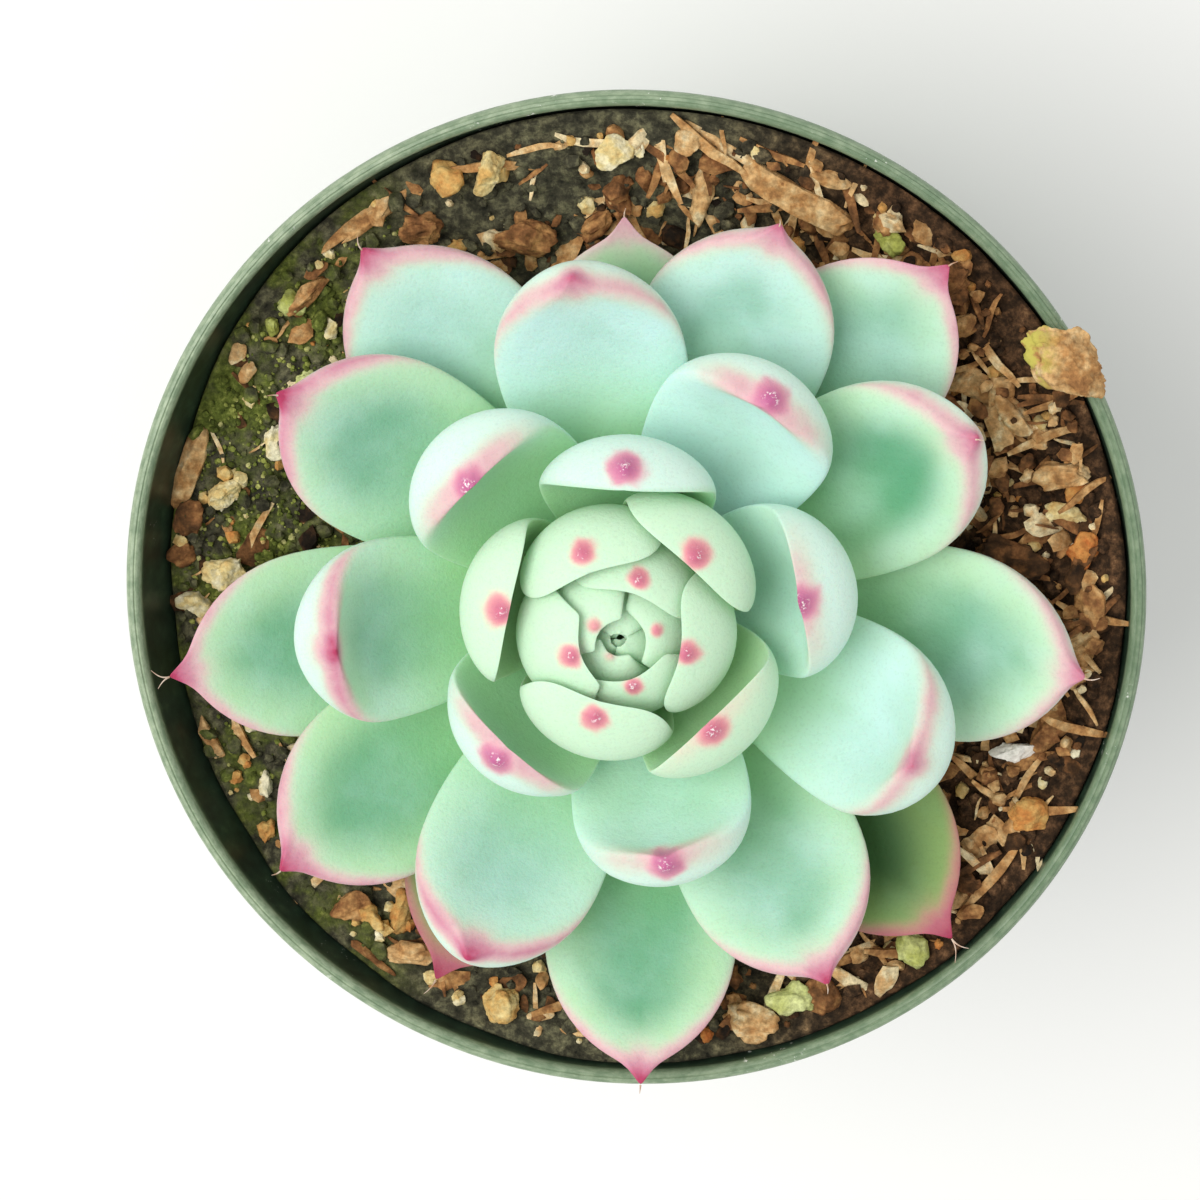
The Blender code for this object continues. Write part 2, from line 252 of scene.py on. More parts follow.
# %% The bowls, by leaf number, in mm and degrees
CUPS = {
    "rank": (-6, 1, 6, 12, 15, 18, 21, 24, 28, 32, 36, 40, 44),
    "base_radius": (8.4, 7.4, 6.6, 5.6, 5.1, 4.6, 4.1, 3.6, 3.0, 2.4, 1.8, 1.2, 0.6),
    "base_height": (82.2, 84.4, 86.0, 88.0, 89.0, 90.0, 91.0, 92.0, 93.2, 94.4, 95.6, 96.8,
                    98.0),
    "base_slope": (-4, -2, 0, 4, 7, 10, 15, 21, 31, 42, 55, 68, 78),
    "rim_radius": (45.5, 46.0, 46.0, 40.0, 34.0, 26.4, 17.8, 12.3, 7.0, 3.9, 0.9, 0.35, 0.1),
    "rim_height": (86.0, 91.0, 95.0, 99.4, 101.4, 103.6, 105.4, 106.8, 107.6, 107.2, 105.8,
                   104.6, 103.6),
    "rim_slope": (10, 22, 32, 42, 62, 112, 132, 146, 150, 152, 152, 152, 150),
    "rim_curl": (0.24, 0.24, 0.24, 0.24, 0.24, 0.24, 0.40, 0.52, 0.60, 0.60, 0.54, 0.44, 0.36),
}
BASE_HANDLE = 0.42

# %% The leaf's own shape, by leaf number
LEAF_SHAPE = {
    "rank": (1, 6, 12, 18, 24, 28, 32, 36, 40),
    "half_width": (9.4, 10.2, 10.0, 9.5, 9.2, 8.5, 7.3, 5.7, 4.2),
    "half_angle": (30, 30, 34, 40, 44, 49, 57, 66, 68),
    "above": (1.6, 1.8, 1.7, 1.1, 0.95, 0.9, 1.1, 3.0, 3.0),
    "below": (4.1, 4.1, 3.8, 2.7, 2.35, 2.05, 2.0, 1.95, 1.95),
    "fullness": (0.0, 0.0, 0.1, 0.3, 0.7, 1.1, 1.2, 1.0, 0.8),
}
WIDEST_AT = 0.62
BASE_WIDTH_SHARE = 0.36
SPOON_DEPTH = 0.45   # how far the upper face is hollowed, as a share of its thickness


# %% Bowl and outline formulas
def smooth(value, low, high):
    """0 below low and 1 above high, with a soft step between."""
    share = np.clip((value - low) / (high - low), 0, 1)
    return share * share * (3 - 2 * share)


def at(table, key, rank):
    return np.interp(rank, table["rank"], table[key])


def on_bowl(rank, share):
    """(radius, height) on the bowl of each rank, at a share of the way from stem to rim."""
    base = np.stack([at(CUPS, "base_radius", rank), at(CUPS, "base_height", rank)])
    rim = np.stack([at(CUPS, "rim_radius", rank), at(CUPS, "rim_height", rank)])
    start = np.radians(at(CUPS, "base_slope", rank))
    end = np.radians(at(CUPS, "rim_slope", rank))
    chord = np.linalg.norm(rim - base, axis=0)
    leave = base + BASE_HANDLE * chord * np.stack([np.cos(start), np.sin(start)])
    arrive = rim - at(CUPS, "rim_curl", rank) * chord * np.stack([np.cos(end), np.sin(end)])
    rest = 1 - share
    return (rest**3 * base + 3 * rest**2 * share * leave
            + 3 * rest * share**2 * arrive + share**3 * rim)


def outline(share, fullness):
    """Half width along the leaf: narrow base, widest past the middle, a pointed arch."""
    swell = np.sin(np.pi / 2 * np.minimum(share / WIDEST_AT, 1)) ** 1.2
    past = np.clip((share - WIDEST_AT) / (1 - WIDEST_AT), 0, 1)
    arch = (1 - past ** (2.2 + fullness)) ** (0.75 - 0.25 * fullness)
    return np.where(share < WIDEST_AT, BASE_WIDTH_SHARE + (1 - BASE_WIDTH_SHARE) * swell, arch)


def leaf_points(number, bearing, length, share, across, side):
    """Points of a leaf in mm: across from margin to margin, side -1 below and 1 above."""
    above = at(LEAF_SHAPE, "above", number) * (1 - SPOON_DEPTH * (1 - across**2) ** 2)
    below = at(LEAF_SHAPE, "below", number)
    thick = (0.6 + 0.4 * np.minimum(share / 0.35, 1)) * np.sqrt(np.maximum(1 - share**4, 0))
    radius, height = on_bowl(
        number + side * np.where(side > 0, above, below) * thick, share * length)
    half_width = at(LEAF_SHAPE, "half_width", number) * outline(
        share, at(LEAF_SHAPE, "fullness", number))
    half_angle = np.minimum(half_width / np.maximum(radius, 0.5),
                            math.radians(at(LEAF_SHAPE, "half_angle", number)))
    turn = math.radians(bearing) + across * half_angle
    lean = smooth(number, 24, 34) * smooth(share, 0.3, 1.0)
    return np.stack([PLANT_CENTRE[0] + BUD_LEAN[0] * lean + radius * np.cos(turn),
                     PLANT_CENTRE[1] + BUD_LEAN[1] * lean + radius * np.sin(turn),
                     height], axis=1)


# %% [markdown]
# ## Tips, dots and blush
#
# An outer leaf ends in a small sharp point. On the leaves round the bud the end has grown past
# the point, which is left as a raised, sugary pink dot on the back of the leaf. Sun turns the
# margins pink, strongest at the tip. Where each colour goes is stored on the vertices, as
# distances measured on the finished leaf, so the finish follows each leaf's own outline.

# %% How each leaf looks: bluish bloom, rubbed green, pink, each from 0 to 1
LEAF_LOOKS = (
    (0.05, 0.0, 0.9), (0.05, 0.4, 0.6), (0.0, 0.0, 0.9), (0.12, 0.2, 0.9), (0.40, 0.2, 0.9),
    (0.14, 0.8, 0.9), (0.74, 0.1, 0.9), (0.26, 0.6, 0.7), (0.05, 0.5, 1.0), (0.74, 0.4, 0.8),
    (0.34, 0.6, 0.9), (0.28, 0.4, 1.0), (0.26, 0.8, 0.8), (0.52, 0.2, 1.0), (0.94, 0.1, 0.8),
    (0.80, 0.0, 0.7), (0.36, 0.4, 1.0), (1.00, 0.1, 0.9), (0.72, 0.0, 0.7), (0.45, 0.0, 0.9),
    (0.70, 0.1, 0.7), (0.50, 0.1, 1.0), (0.40, 0.0, 0.1), (0.40, 0.0, 0.5))
BUD_LOOK = (0.25, 0.0, 0.0)
POINTED_UP_TO = 17
# How far along the back of the leaf its dot is, from the first leaf that has one
DOT_SHARES = (0.996, 0.998, 1.0, 1.0, 0.974, 0.966, 0.992, 0.987, 0.977, 0.968, 0.953, 0.983,
              0.976, 0.955, 0.98, 0.979, 0.958, 0.998, 0.999)
# How far the upper face, inside the cup of the same leaves, takes the base green: partly its own
# greener colour, mostly painted shade where it turns from the light
CUP_GREEN_AND_PAINTED_SHADE = (0.1, 0.3, 0.65, 0.15, 0.65, 0.6, 0.6, 0.6)
# Leaf numbers, then the value at each: sizes in mm, and how strong the colour of the dot is
POINT_LENGTH = ((1, 8, 14, 17), (1.9, 1.9, 2.0, 1.3))
DOT_SIZE = ((18, 22, 25, 28, 31, 34, 38), (2.6, 2.5, 2.1, 1.8, 1.4, 0.95, 0.5))
DOT_STRENGTH = ((32, 33, 34, 35, 36), (1.0, 0.65, 0.8, 0.4, 0.0))


def of_dotted(values, number):
    """The value of a leaf that has a dot. The last one serves every younger leaf too."""
    return values[min(number - POINTED_UP_TO, len(values)) - 1]


# %% Read, move and finish a piece
def points_of(piece, unit=MM):
    """The points of a piece, in mm unless another unit is given."""
    points = np.empty(len(piece.data.vertices) * 3)
    piece.data.vertices.foreach_get("co", points)
    return points.reshape(-1, 3) / unit


def set_points(piece, points):
    """Moves the points of a piece to places in mm."""
    piece.data.vertices.foreach_set("co", (np.asarray(points) * MM).ravel())
    piece.data.update()


def store(piece, **values):
    """Keeps values on the vertices, for the finish to read."""
    for name, value in values.items():
        layer = piece.data.attributes.new(name, "FLOAT", "POINT")
        layer.data.foreach_set("value", np.asarray(value, np.float32))


def modify(piece, kind, **settings):
    """Adds a modifier to the selected piece and applies it."""
    modifier = piece.modifiers.new(kind.lower(), kind)
    for key, value in settings.items():
        setattr(modifier, key, value)
    bpy.ops.object.modifier_apply(modifier=modifier.name)


def copy_blank(blank, name):
    """A copy of a blank with its own mesh."""
    piece = blank.copy()
    piece.data = blank.data.copy()
    piece.name = name
    scene.collection.objects.link(piece)
    return piece


def copy_node(node, name):
    """A copy of a node of the engineering model, selected, with its loose triangles merged."""
    piece = bpy.data.objects.new(name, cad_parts[node].data.copy())
    scene.collection.objects.link(piece)
    select(piece)
    bpy.ops.object.mode_set(mode="EDIT")
    bpy.ops.mesh.select_all(action="SELECT")
    bpy.ops.mesh.remove_doubles(threshold=0.01 * MM)
    bpy.ops.object.mode_set(mode="OBJECT")
    return piece


def finish(piece, material, slot, *nodes, angle=None):
    """Shades the piece, gives it its finish, attaches it to the root body and hides the CAD nodes
    that it replaces.
    """
    select(piece)
    if angle is None:
        bpy.ops.object.shade_smooth()
    else:
        bpy.ops.object.shade_smooth_by_angle(angle=math.radians(angle))
    piece.data.materials.clear()
    piece.data.materials.append(material)
    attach(piece, "root")
    if nodes:
        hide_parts(*nodes)


# %% The leaf blank: how far along, across and above the leaf each of its points is
deselect()
bpy.ops.mesh.primitive_uv_sphere_add(segments=64, ring_count=44, radius=1.0)
leaf_blank = bpy.context.object
ball = points_of(leaf_blank, unit=1.0)
ball_ring = np.hypot(ball[:, 0], ball[:, 1])
SHARE = np.clip((1 + ball[:, 2]) / 2, 0, 1)
ACROSS = np.where(ball_ring > 1e-5, ball[:, 0] / np.maximum(ball_ring, 1e-9), 0.0)
SIDE = np.where(ball_ring > 1e-5, ball[:, 1] / np.maximum(ball_ring, 1e-9), 0.0)
print("blank:", len(ball), "points")


# %% Points and margin of one leaf
def one_point(number, bearing, length, share, side):
    """The point on the middle line of a leaf, at a share of the way to its tip."""
    return leaf_points(number, bearing, length, np.array([share]), np.array([0.0]),
                       np.array([float(side)]))[0]


def leaf_margin(number, bearing, length):
    """Points along both margins."""
    share = np.linspace(0.02, 1.0, 160)
    rows = [leaf_points(number, bearing, length, share, np.full(160, edge), np.zeros(160))
            for edge in (-1.0, 1.0)]
    return np.concatenate(rows)


# %% An outer leaf's point, and a bud leaf's dot
def pointed(number, points, tip, along, to_margin, towards_tip, pink):
    """The points of a leaf drawn out to a sharp end, and how pink it is at each."""
    to_tip = np.linalg.norm(points - tip, axis=1)
    ahead = along / np.linalg.norm(along) * np.array([1, 1, 0.6])
    drawn_out = np.interp(number, *POINT_LENGTH) * np.exp(-(to_tip / 1.15) ** 1.5)
    band = 0.9 + 2.3 * towards_tip**2
    blush = 0.70 * pink * towards_tip * (1 - smooth(to_margin, -0.8, band))
    blush = np.maximum(blush, 0.46 * pink * np.exp(-(to_tip / 3.2) ** 2))
    blush = blush + 0.50 * pink * np.exp(-(to_tip / 1.4) ** 2)
    return points + ahead * drawn_out[:, None], blush


def dotted(number, points, centre, along, to_margin, towards_tip, pink):
    """The points of a leaf with its raised dot, how pink it is, and how strong the dot is."""
    outward = along / np.linalg.norm(along) + np.array([0, 0, 0.9])
    outward /= np.linalg.norm(outward)
    size = np.interp(number, *DOT_SIZE)
    to_dot = np.linalg.norm(points - centre, axis=1)
    rough = np.array([noise.noise(Vector(p) * 0.9) for p in points])
    lift = 0.42 * size * np.exp(-(to_dot / (0.45 * size)) ** 2) * (1 + 0.4 * rough)
    dot = np.interp(number, *DOT_STRENGTH) * (
        1 - smooth(to_dot * (1 + 0.25 * rough), 0.10 * size, 1.25 * size))
    band = 1.4 + 2.4 * towards_tip**2
    blush = 0.55 * pink * towards_tip**2 * (1 - smooth(to_margin, 0.2, band))
    blush = blush * np.exp(-(to_dot / (3.8 * size)) ** 2)
    return points + outward * lift[:, None], blush, dot


# %% Shape one leaf
def shape_leaf(number, bearing, length):
    """The points of one leaf in mm, and what its finish needs to know at each."""
    points = leaf_points(number, bearing, length, SHARE, ACROSS, SIDE)
    margin = leaf_margin(number, bearing, length)
    to_margin = np.sqrt(((points[:, None] - margin[None]) ** 2).sum(2).min(1))
    bloom, rub, pink = LEAF_LOOKS[number - 1] if number <= len(LEAF_LOOKS) else BUD_LOOK
    towards_tip = smooth(SHARE, 0.40, 0.97)
    depth = 0.85 * (1 - smooth(SHARE, 0.20, 0.72))
    if number <= POINTED_UP_TO:
        tip = one_point(number, bearing, length, 1.0, 0)
        along = tip - one_point(number, bearing, length, 0.90, 0)
        points, blush = pointed(number, points, tip, along, to_margin, towards_tip, pink)
        dot = np.zeros(len(points))
    else:
        centre = one_point(number, bearing, length, of_dotted(DOT_SHARES, number), -1)
        along = centre - one_point(number, bearing, length, 0.85, 0)
        points, blush, dot = dotted(
            number, points, centre, along, to_margin, towards_tip, pink)
        # On these leaves the base green also covers the inner face, partly as its own colour and
        # partly as painted shade
        green = of_dotted(CUP_GREEN_AND_PAINTED_SHADE, number)
        depth = np.maximum(depth * green, green * smooth(SIDE, 0.0, 0.3)
                           * (1 - smooth(SHARE, 0.55, 0.99)))
    return points, dict(margin_mm=to_margin, blush=blush, dot=dot,
                        under=smooth(-SIDE, -0.12, 0.25), depth=depth,
                        bloom=np.full(len(points), bloom), rub=np.full(len(points), rub))


# %% [markdown]
# ## Leaf skin
#
# A living leaf with a waxy bloom: green flesh under a matt, bluish-white powder that is rubbed
# thin in places. Light goes a little way into the flesh, so the margins look pale and soft.
# The pink is a stain in the skin, and its dots have a rough, sugary top, whose glints are painted
# on as white flecks.


# %% Leaf skin material
def leaf_skin(name, middle, rim, bloomed, rubbed, underside, base, stain, spot):
    """Six plain colours of a leaf, then the ramps of its pink margin and of its dot."""
    skin, tree, shader = new_material(
        name, Roughness=0.55, IOR=1.42, Subsurface_Weight=0.10, Subsurface_Scale=0.0015,
        Specular_IOR_Level=0.35, Sheen_Weight=0.05, Sheen_Roughness=0.5)
    patches = noise_of(tree, 7.0, 3.0, 0.55)
    grain = noise_of(tree, 0.32, 3.0, 0.7)
    to_margin = attribute(tree, "margin_mm")
    colour = mixed(tree, spread(tree, to_margin, 0.5, 7.5), rim, middle)
    powder = maths(tree, "ADD", attribute(tree, "bloom"),
                   spread(tree, patches, 0.3, 0.7, -0.12, 0.12), True)
    colour = mixed(tree, powder, colour, bloomed)
    worn = maths(tree, "MULTIPLY", spread(tree, noise_of(tree, 12.0, 2.0, 0.5), 0.34, 0.64),
                 attribute(tree, "rub"))
    worn = maths(tree, "MULTIPLY", worn, spread(tree, to_margin, 2.0, 6.5))
    colour = mixed(tree, worn, colour, rubbed)
    # The base green: the leaf's own greener base, and on the bud's leaves painted shade on the
    # inner faces
    colour = mixed(tree, attribute(tree, "depth"), colour, base)
    colour = mixed(tree, attribute(tree, "under"), colour, underside)
    uneven = spread(tree, noise_of(tree, 2.5, 3.0, 0.6), 0.25, 0.75, 0.86, 1.12)
    blush = maths(tree, "MULTIPLY", attribute(tree, "blush"), uneven, True)
    colour = mixed(tree, spread(tree, blush, 0.0, 0.42), colour, ramp(tree, blush, stain))
    dot = attribute(tree, "dot")
    colour = mixed(tree, spread(tree, dot, 0.0, 0.60), colour, ramp(tree, dot, spot))
    # White flecks on the top of each dot: raised in the bump, and painted glints in the colour
    sugar_and_painted_glint = maths(tree, "MULTIPLY", spread(tree, noise_of(tree, 0.34, 2.0, 0.65), 0.54, 0.62),
                  spread(tree, dot, 0.80, 1.0))
    sugar_and_painted_glint = maths(tree, "MULTIPLY", sugar_and_painted_glint, spread(tree, noise_of(tree, 1.6, 1.0), 0.40, 0.55))
    colour = mixed(tree, sugar_and_painted_glint, colour, "#FFF1F1")
    fleck = spread(tree, grain, 0.34, 0.50, 0.93, 1.0)
    colour = mixed(tree, 1.0, colour, fleck, "MULTIPLY")
    tree.links.new(colour, shader.inputs["Base Color"])
    tree.links.new(spread(tree, dot, 0.5, 1.0, 0.55, 0.32), shader.inputs["Roughness"])
    pores = maths(tree, "ADD", grain, noise_of(tree, 0.75, 2.0, 0.5))
    bumped(tree, shader, maths(tree, "ADD", pores, sugar_and_painted_glint), 0.34, 0.16)
    return skin


YOUNG_STAIN = ((0.0, "#D8E6C8"), (0.3, "#EBD0BE"), (0.6, "#E8AAAC"), (1.0, "#D07898"))
GROWN_STAIN = ((0.0, "#C2DAC0"), (0.22, "#D2D4C0"), (0.42, "#DAB8B8"), (0.62, "#CE92A2"),
               (0.85, "#C06884"), (1.0, "#B03A60"))
YOUNG_DOT = ((0.0, "#EAD8C6"), (0.35, "#EAB9B0"), (0.7, "#DE909A"), (1.0, "#CB6E88"))
GROWN_DOT = ((0.0, "#E6D8D2"), (0.35, "#E2B0B8"), (0.7, "#D286A2"), (1.0, "#BE6592"))
OLD_STAIN = ((0.0, "#8F9C5C"), (0.3, "#B08C74"), (0.6, "#B0626F"), (1.0, "#9C2F50"))
young_skin = leaf_skin("waxy_leaf_skin_young", "#B9E2BA", "#C8E9C4", "#CFEFDC", "#8CCB9A",
                       "#CBECCB", "#A4D28A", YOUNG_STAIN, YOUNG_DOT)
grown_skin = leaf_skin("waxy_leaf_skin_grown", "#77B18B", "#B6DEAE", "#CAEDE8", "#4E9A6C",
                       "#D2EEE0", "#A2DA94", GROWN_STAIN, GROWN_DOT)
# The old leaves lie low under the others: their dark skin is partly their own colour and partly
# painted shade
old_and_shaded_skin = leaf_skin("waxy_leaf_skin_old_and_shaded", "#385E2E", "#7F9E5A", "#7FA886", "#356B40",
                     "#7FA574", "#46702F", OLD_STAIN, GROWN_DOT)

# %% Which skin and slot a leaf has
OLD_UP_TO, GROWN_UP_TO = 3, 23
OLD_BUT_BLOOMED = 2   # it lies in the light, so it keeps the lighter skin without the painted shade, and has kept its powder


def leaf_finish(number):
    if number > GROWN_UP_TO:
        return young_skin, "leaf_young"
    if number > OLD_UP_TO:
        return grown_skin, "leaf_grown"
    return grown_skin if number == OLD_BUT_BLOOMED else old_and_shaded_skin, "leaf_old"


# %% Make the leaves
for number, (bearing, length) in enumerate(LEAVES + CORE_LEAVES, start=1):
    leaf = copy_blank(leaf_blank, f"leaf_{number:02d}_living")
    points, values = shape_leaf(number, bearing, length)
    set_points(leaf, points)
    store(leaf, **values)
    stands_for = [f"leaf_{number:02d}"] if number <= len(LEAVES) else []
    finish(leaf, *leaf_finish(number), *stands_for)
bpy.data.objects.remove(leaf_blank)
print(len(LEAVES + CORE_LEAVES), "leaves made")

# %% [markdown]
# ## The pot
#
# A nursery pot is one injection moulding: a tapered wall, a stiffening collar and a small
# rolled lip. It is turned, so a circle is added at the foot, and its edge is pulled up and
# resized ring by ring round the whole wall, outside and in. The lip is seen closest, so it gets
# the most rings and two fine lines.

# %% Sizes of the pot in mm
POT_HEIGHT, FOOT_RADIUS, RIM_RADIUS, WALL_TOP_RADIUS = 90.0, 37.0, 52.3, 49.6
FOOT_WIDTH, FOOT_RECESS, FLOOR_THICKNESS, WALL_THICKNESS = 3.5, 2.0, 1.6, 1.3
COLLAR_HEIGHT, COLLAR_STEP, LIP_WIDTH, LIP_DEPTH = 12.0, 1.0, 1.6, 2.0
DRAIN_HOLES, DRAIN_RADIUS, DRAIN_CIRCLE = 8, 4.0, 24.0
WALL_LEVELS = (8, 30, 55, 74)
LIP_LINES, LIP_LINE_DEPTH = (60, 100), 0.12   # degrees round the lip, and mm


def inner_wall_radius(height):
    """Radius of the inside of the wall at a height, both in mm."""
    heights = (0.0, POT_HEIGHT - COLLAR_HEIGHT, POT_HEIGHT - LIP_DEPTH)
    outer = (FOOT_RADIUS, WALL_TOP_RADIUS, RIM_RADIUS - LIP_WIDTH + WALL_THICKNESS)
    return np.interp(height, heights, outer) - WALL_THICKNESS


# %% Rings of the pot: radius and height, from the foot's inner corner round to the floor
def pot_rings():
    """(radius, height) of every ring, in mm."""
    collar, floor_top = POT_HEIGHT - COLLAR_HEIGHT, FOOT_RECESS + FLOOR_THICKNESS
    foot_in = FOOT_RADIUS - FOOT_WIDTH
    rings = [(foot_in, FOOT_RECESS), (foot_in + 0.25, 0.5), (foot_in + 0.5, 0.1),
             (foot_in + 0.9, 0.0), (FOOT_RADIUS - 0.9, 0.0), (FOOT_RADIUS - 0.35, 0.12),
             (FOOT_RADIUS, 0.6)]
    wall = np.interp(WALL_LEVELS, (0.6, collar), (FOOT_RADIUS, WALL_TOP_RADIUS))
    rings += list(zip(wall, WALL_LEVELS))
    rings += [(WALL_TOP_RADIUS - 0.04, collar - 0.35), (WALL_TOP_RADIUS + 0.2, collar),
              (WALL_TOP_RADIUS + 0.8, collar + 0.45),
              (WALL_TOP_RADIUS + COLLAR_STEP, collar + 1), (WALL_TOP_RADIUS + 1.1, collar + 2),
              (RIM_RADIUS - 0.75, POT_HEIGHT - LIP_DEPTH - 0.4)]
    middle, half = RIM_RADIUS - LIP_WIDTH / 2, LIP_DEPTH / 2
    for turn in range(-60, 200, 10):
        line = LIP_LINE_DEPTH if turn in LIP_LINES else 0.0
        across = math.cos(math.radians(turn)) * (LIP_WIDTH / 2 - line)
        rings.append((middle + across, POT_HEIGHT - half
                      + math.sin(math.radians(turn)) * (half - line)))
    rings += [(RIM_RADIUS - LIP_WIDTH, POT_HEIGHT - LIP_DEPTH)]
    rings += [(float(inner_wall_radius(h)), h) for h in (84, collar, 50, 20, floor_top + 1.5)]
    return rings + [(float(inner_wall_radius(floor_top)) - 1.2, floor_top)]


# %% Pull the rings up from one circle
rings = pot_rings()
deselect()
bpy.ops.mesh.primitive_circle_add(vertices=192, radius=rings[0][0] * MM, fill_type="NGON",
                                  location=(0, 0, rings[0][1] * MM))
pot = bpy.context.object
pot.name = "nursery_pot"
select(pot)
bpy.ops.object.transform_apply(location=True, rotation=True, scale=True)
bpy.ops.object.mode_set(mode="EDIT")
bpy.ops.mesh.select_all(action="SELECT")
for (radius, height), (next_radius, next_height) in zip(rings, rings[1:]):
    bpy.ops.mesh.extrude_region_move(
        TRANSFORM_OT_translate={"value": (0, 0, (next_height - height) * MM)})
    bpy.ops.transform.resize(value=(next_radius / radius,) * 2 + (1,),
                             center_override=(0, 0, next_height * MM))
bpy.ops.object.mode_set(mode="OBJECT")
print("pot rings:", len(rings), "sides in mm:", [round(s / MM, 1) for s in pot.dimensions])

# %% [markdown]
# Water drains through eight round holes in the pot's floor. One cylinder is modelled and copied
# round the floor, and the copies are joined and cut out with a Boolean.

# %% Drill the drainage holes
deselect()
bpy.ops.mesh.primitive_cylinder_add(vertices=32, radius=DRAIN_RADIUS * MM, depth=8 * MM)
drill_blank = bpy.context.object
drills = []
for hole in range(DRAIN_HOLES):
    turn = 2 * math.pi * (hole + 0.5) / DRAIN_HOLES
    drills.append(copy_blank(drill_blank, f"drill_{hole}"))
    drills[-1].location = Vector((DRAIN_CIRCLE * math.cos(turn), DRAIN_CIRCLE * math.sin(turn),
                                  FOOT_RECESS)) * MM
bpy.data.objects.remove(drill_blank)
select(*drills)
bpy.ops.object.join()
drill = bpy.context.object
select(pot)
modify(pot, "BOOLEAN", operation="DIFFERENCE", solver="EXACT", object=drill)
bpy.data.objects.remove(drill)
print("pot faces:", len(pot.data.polygons))

# %% [markdown]
# ## Pot plastic
#
# Moulded polypropylene, sage green and satin. The outside is clean but a little chalky, the lip
# is scuffed paler, and painted paler still on its lit left side, hard water has left white specks
# of lime on it, and the inside above the soil is darkened with painted shade, mottled like damp
# dust.


# %% Pot material
def pot_plastic():
    """Sage green, with a scuffed lip painted paler on the left, specks of lime and painted shade
    on the inside.
    """
    plastic, tree, shader = new_material(
        "moulded_polypropylene", Roughness=0.42, IOR=1.49, Specular_IOR_Level=0.45)
    place = add_node(tree, "ShaderNodeTexCoord").outputs["Object"]
    parts = add_node(tree, "ShaderNodeSeparateXYZ", {"Vector": place})
    x, z = parts.outputs["X"], parts.outputs["Z"]
    cloudy = noise_of(tree, 30.0, 4.0, 0.6)
    colour = ramp(tree, cloudy, ((0.3, "#506C4F"), (0.7, "#5A7756")))
    scratches = noise_of(tree, 1.6, 4.0, 0.7, squeeze=(1, 1, 4))
    scuffs_and_painted_light = maths(tree, "MULTIPLY", spread(tree, z, 88.0 * MM, 89.9 * MM),
                    spread(tree, scratches, 0.35, 0.7, 0.24, 0.62))
    # Painted light: the scuffs are made paler on the left of the lip, where the lamp falls
    scuffs_and_painted_light = maths(tree, "MULTIPLY", scuffs_and_painted_light,
                    spread(tree, x, -50 * MM, 50 * MM, 1.5, 0.8), True)
    colour = mixed(tree, scuffs_and_painted_light, colour, "#A9B89A")
    # Painted shade on the inside of the wall above the soil, mottled like damp dirt
    damp_and_painted_shade = ramp(tree, noise_of(tree, 2.2, 4.0, 0.65),
                ((0.35, "#202E23"), (0.6, "#2E4232"), (0.75, "#465A42")))
    colour = mixed(tree, attribute(tree, "inside"), colour, damp_and_painted_shade)
    lime = maths(tree, "MULTIPLY", spread(tree, noise_of(tree, 0.9, 3.0, 0.75), 0.63, 0.70),
                 spread(tree, noise_of(tree, 16.0, 1.0), 0.52, 0.62))
    lime = maths(tree, "MULTIPLY", lime, spread(tree, z, 84 * MM, 88 * MM))
    colour = mixed(tree, lime, colour, "#E9ECE2")
    tree.links.new(colour, shader.inputs["Base Color"])
    tree.links.new(spread(tree, noise_of(tree, 4.0, 3.0), 0.3, 0.7, 0.36, 0.52),
                   shader.inputs["Roughness"])
    height = maths(tree, "ADD", noise_of(tree, 0.7, 3.0, 0.6), lime)
    bumped(tree, shader, height, 0.18, 0.10)
    return plastic


around = points_of(pot)
out, up = np.hypot(around[:, 0], around[:, 1]), around[:, 2]
# Where the painted shade lies: the inside of the wall, above the soil and below the lip
store(pot, inside=smooth(inner_wall_radius(up) + 0.6 - out, 0.0, 0.5)
      * smooth(up, 30, 50) * (1 - smooth(up, 88.4, 89.4)))
finish(pot, pot_plastic(), "pot_plastic", "pot", angle=35)

# %% [markdown]
# ## The potting mix
#
# The mix is bark fines, pumice and coir, low round the plant and banked up against the wall on
# every side but the left. A ball is carried to the shape of the plug: most of its rings become
# the top, which is roughened with noise of several sizes, and the rest the hidden underside.

# %% The ground: heights in mm, and how far it rises at the wall on each side
SOIL_MIDDLE, SOIL_RIPPLE, GAP = 81.0, 0.7, 0.35
BANK_RADIUS = 45.0
MODEL_RISE = {"east": 4.2, "west": 0.6, "south": 3.8, "north": 4.2}
SOIL_RISE = {"east": 5.2, "west": 0.9, "south": 5.2, "north": 5.0}


def soil_height(x, y, bank=SOIL_RISE):
    """The engineering model's surface, with a higher bank where crumbs lie against the wall."""
    out = min(math.hypot(x, y) / BANK_RADIUS, 1.1)
    bearing = math.atan2(y, x)
    east, north = math.cos(bearing), math.sin(bearing)
    rise = bank["east"] * max(east, 0)**2 + bank["west"] * max(-east, 0)**2
    rise += bank["north"] * max(north, 0)**2 + bank["south"] * max(-north, 0)**2
    ripple = noise.noise(Vector((x, y, 3.0)) * 0.12) * SOIL_RIPPLE
    return SOIL_MIDDLE + rise * out**3 + ripple * min(1.0, out * 2)


def ground(x, y):
    """The soil with its crumbs: lumps of 4 mm, 1.5 mm and 0.6 mm."""
    spot = Vector((x, y, 0.0))
    return (soil_height(x, y) + 0.75 * noise.noise(spot * 0.25) + 0.45 * noise.noise(spot * 0.7)
            + 0.40 * noise.noise(spot * 1.7))


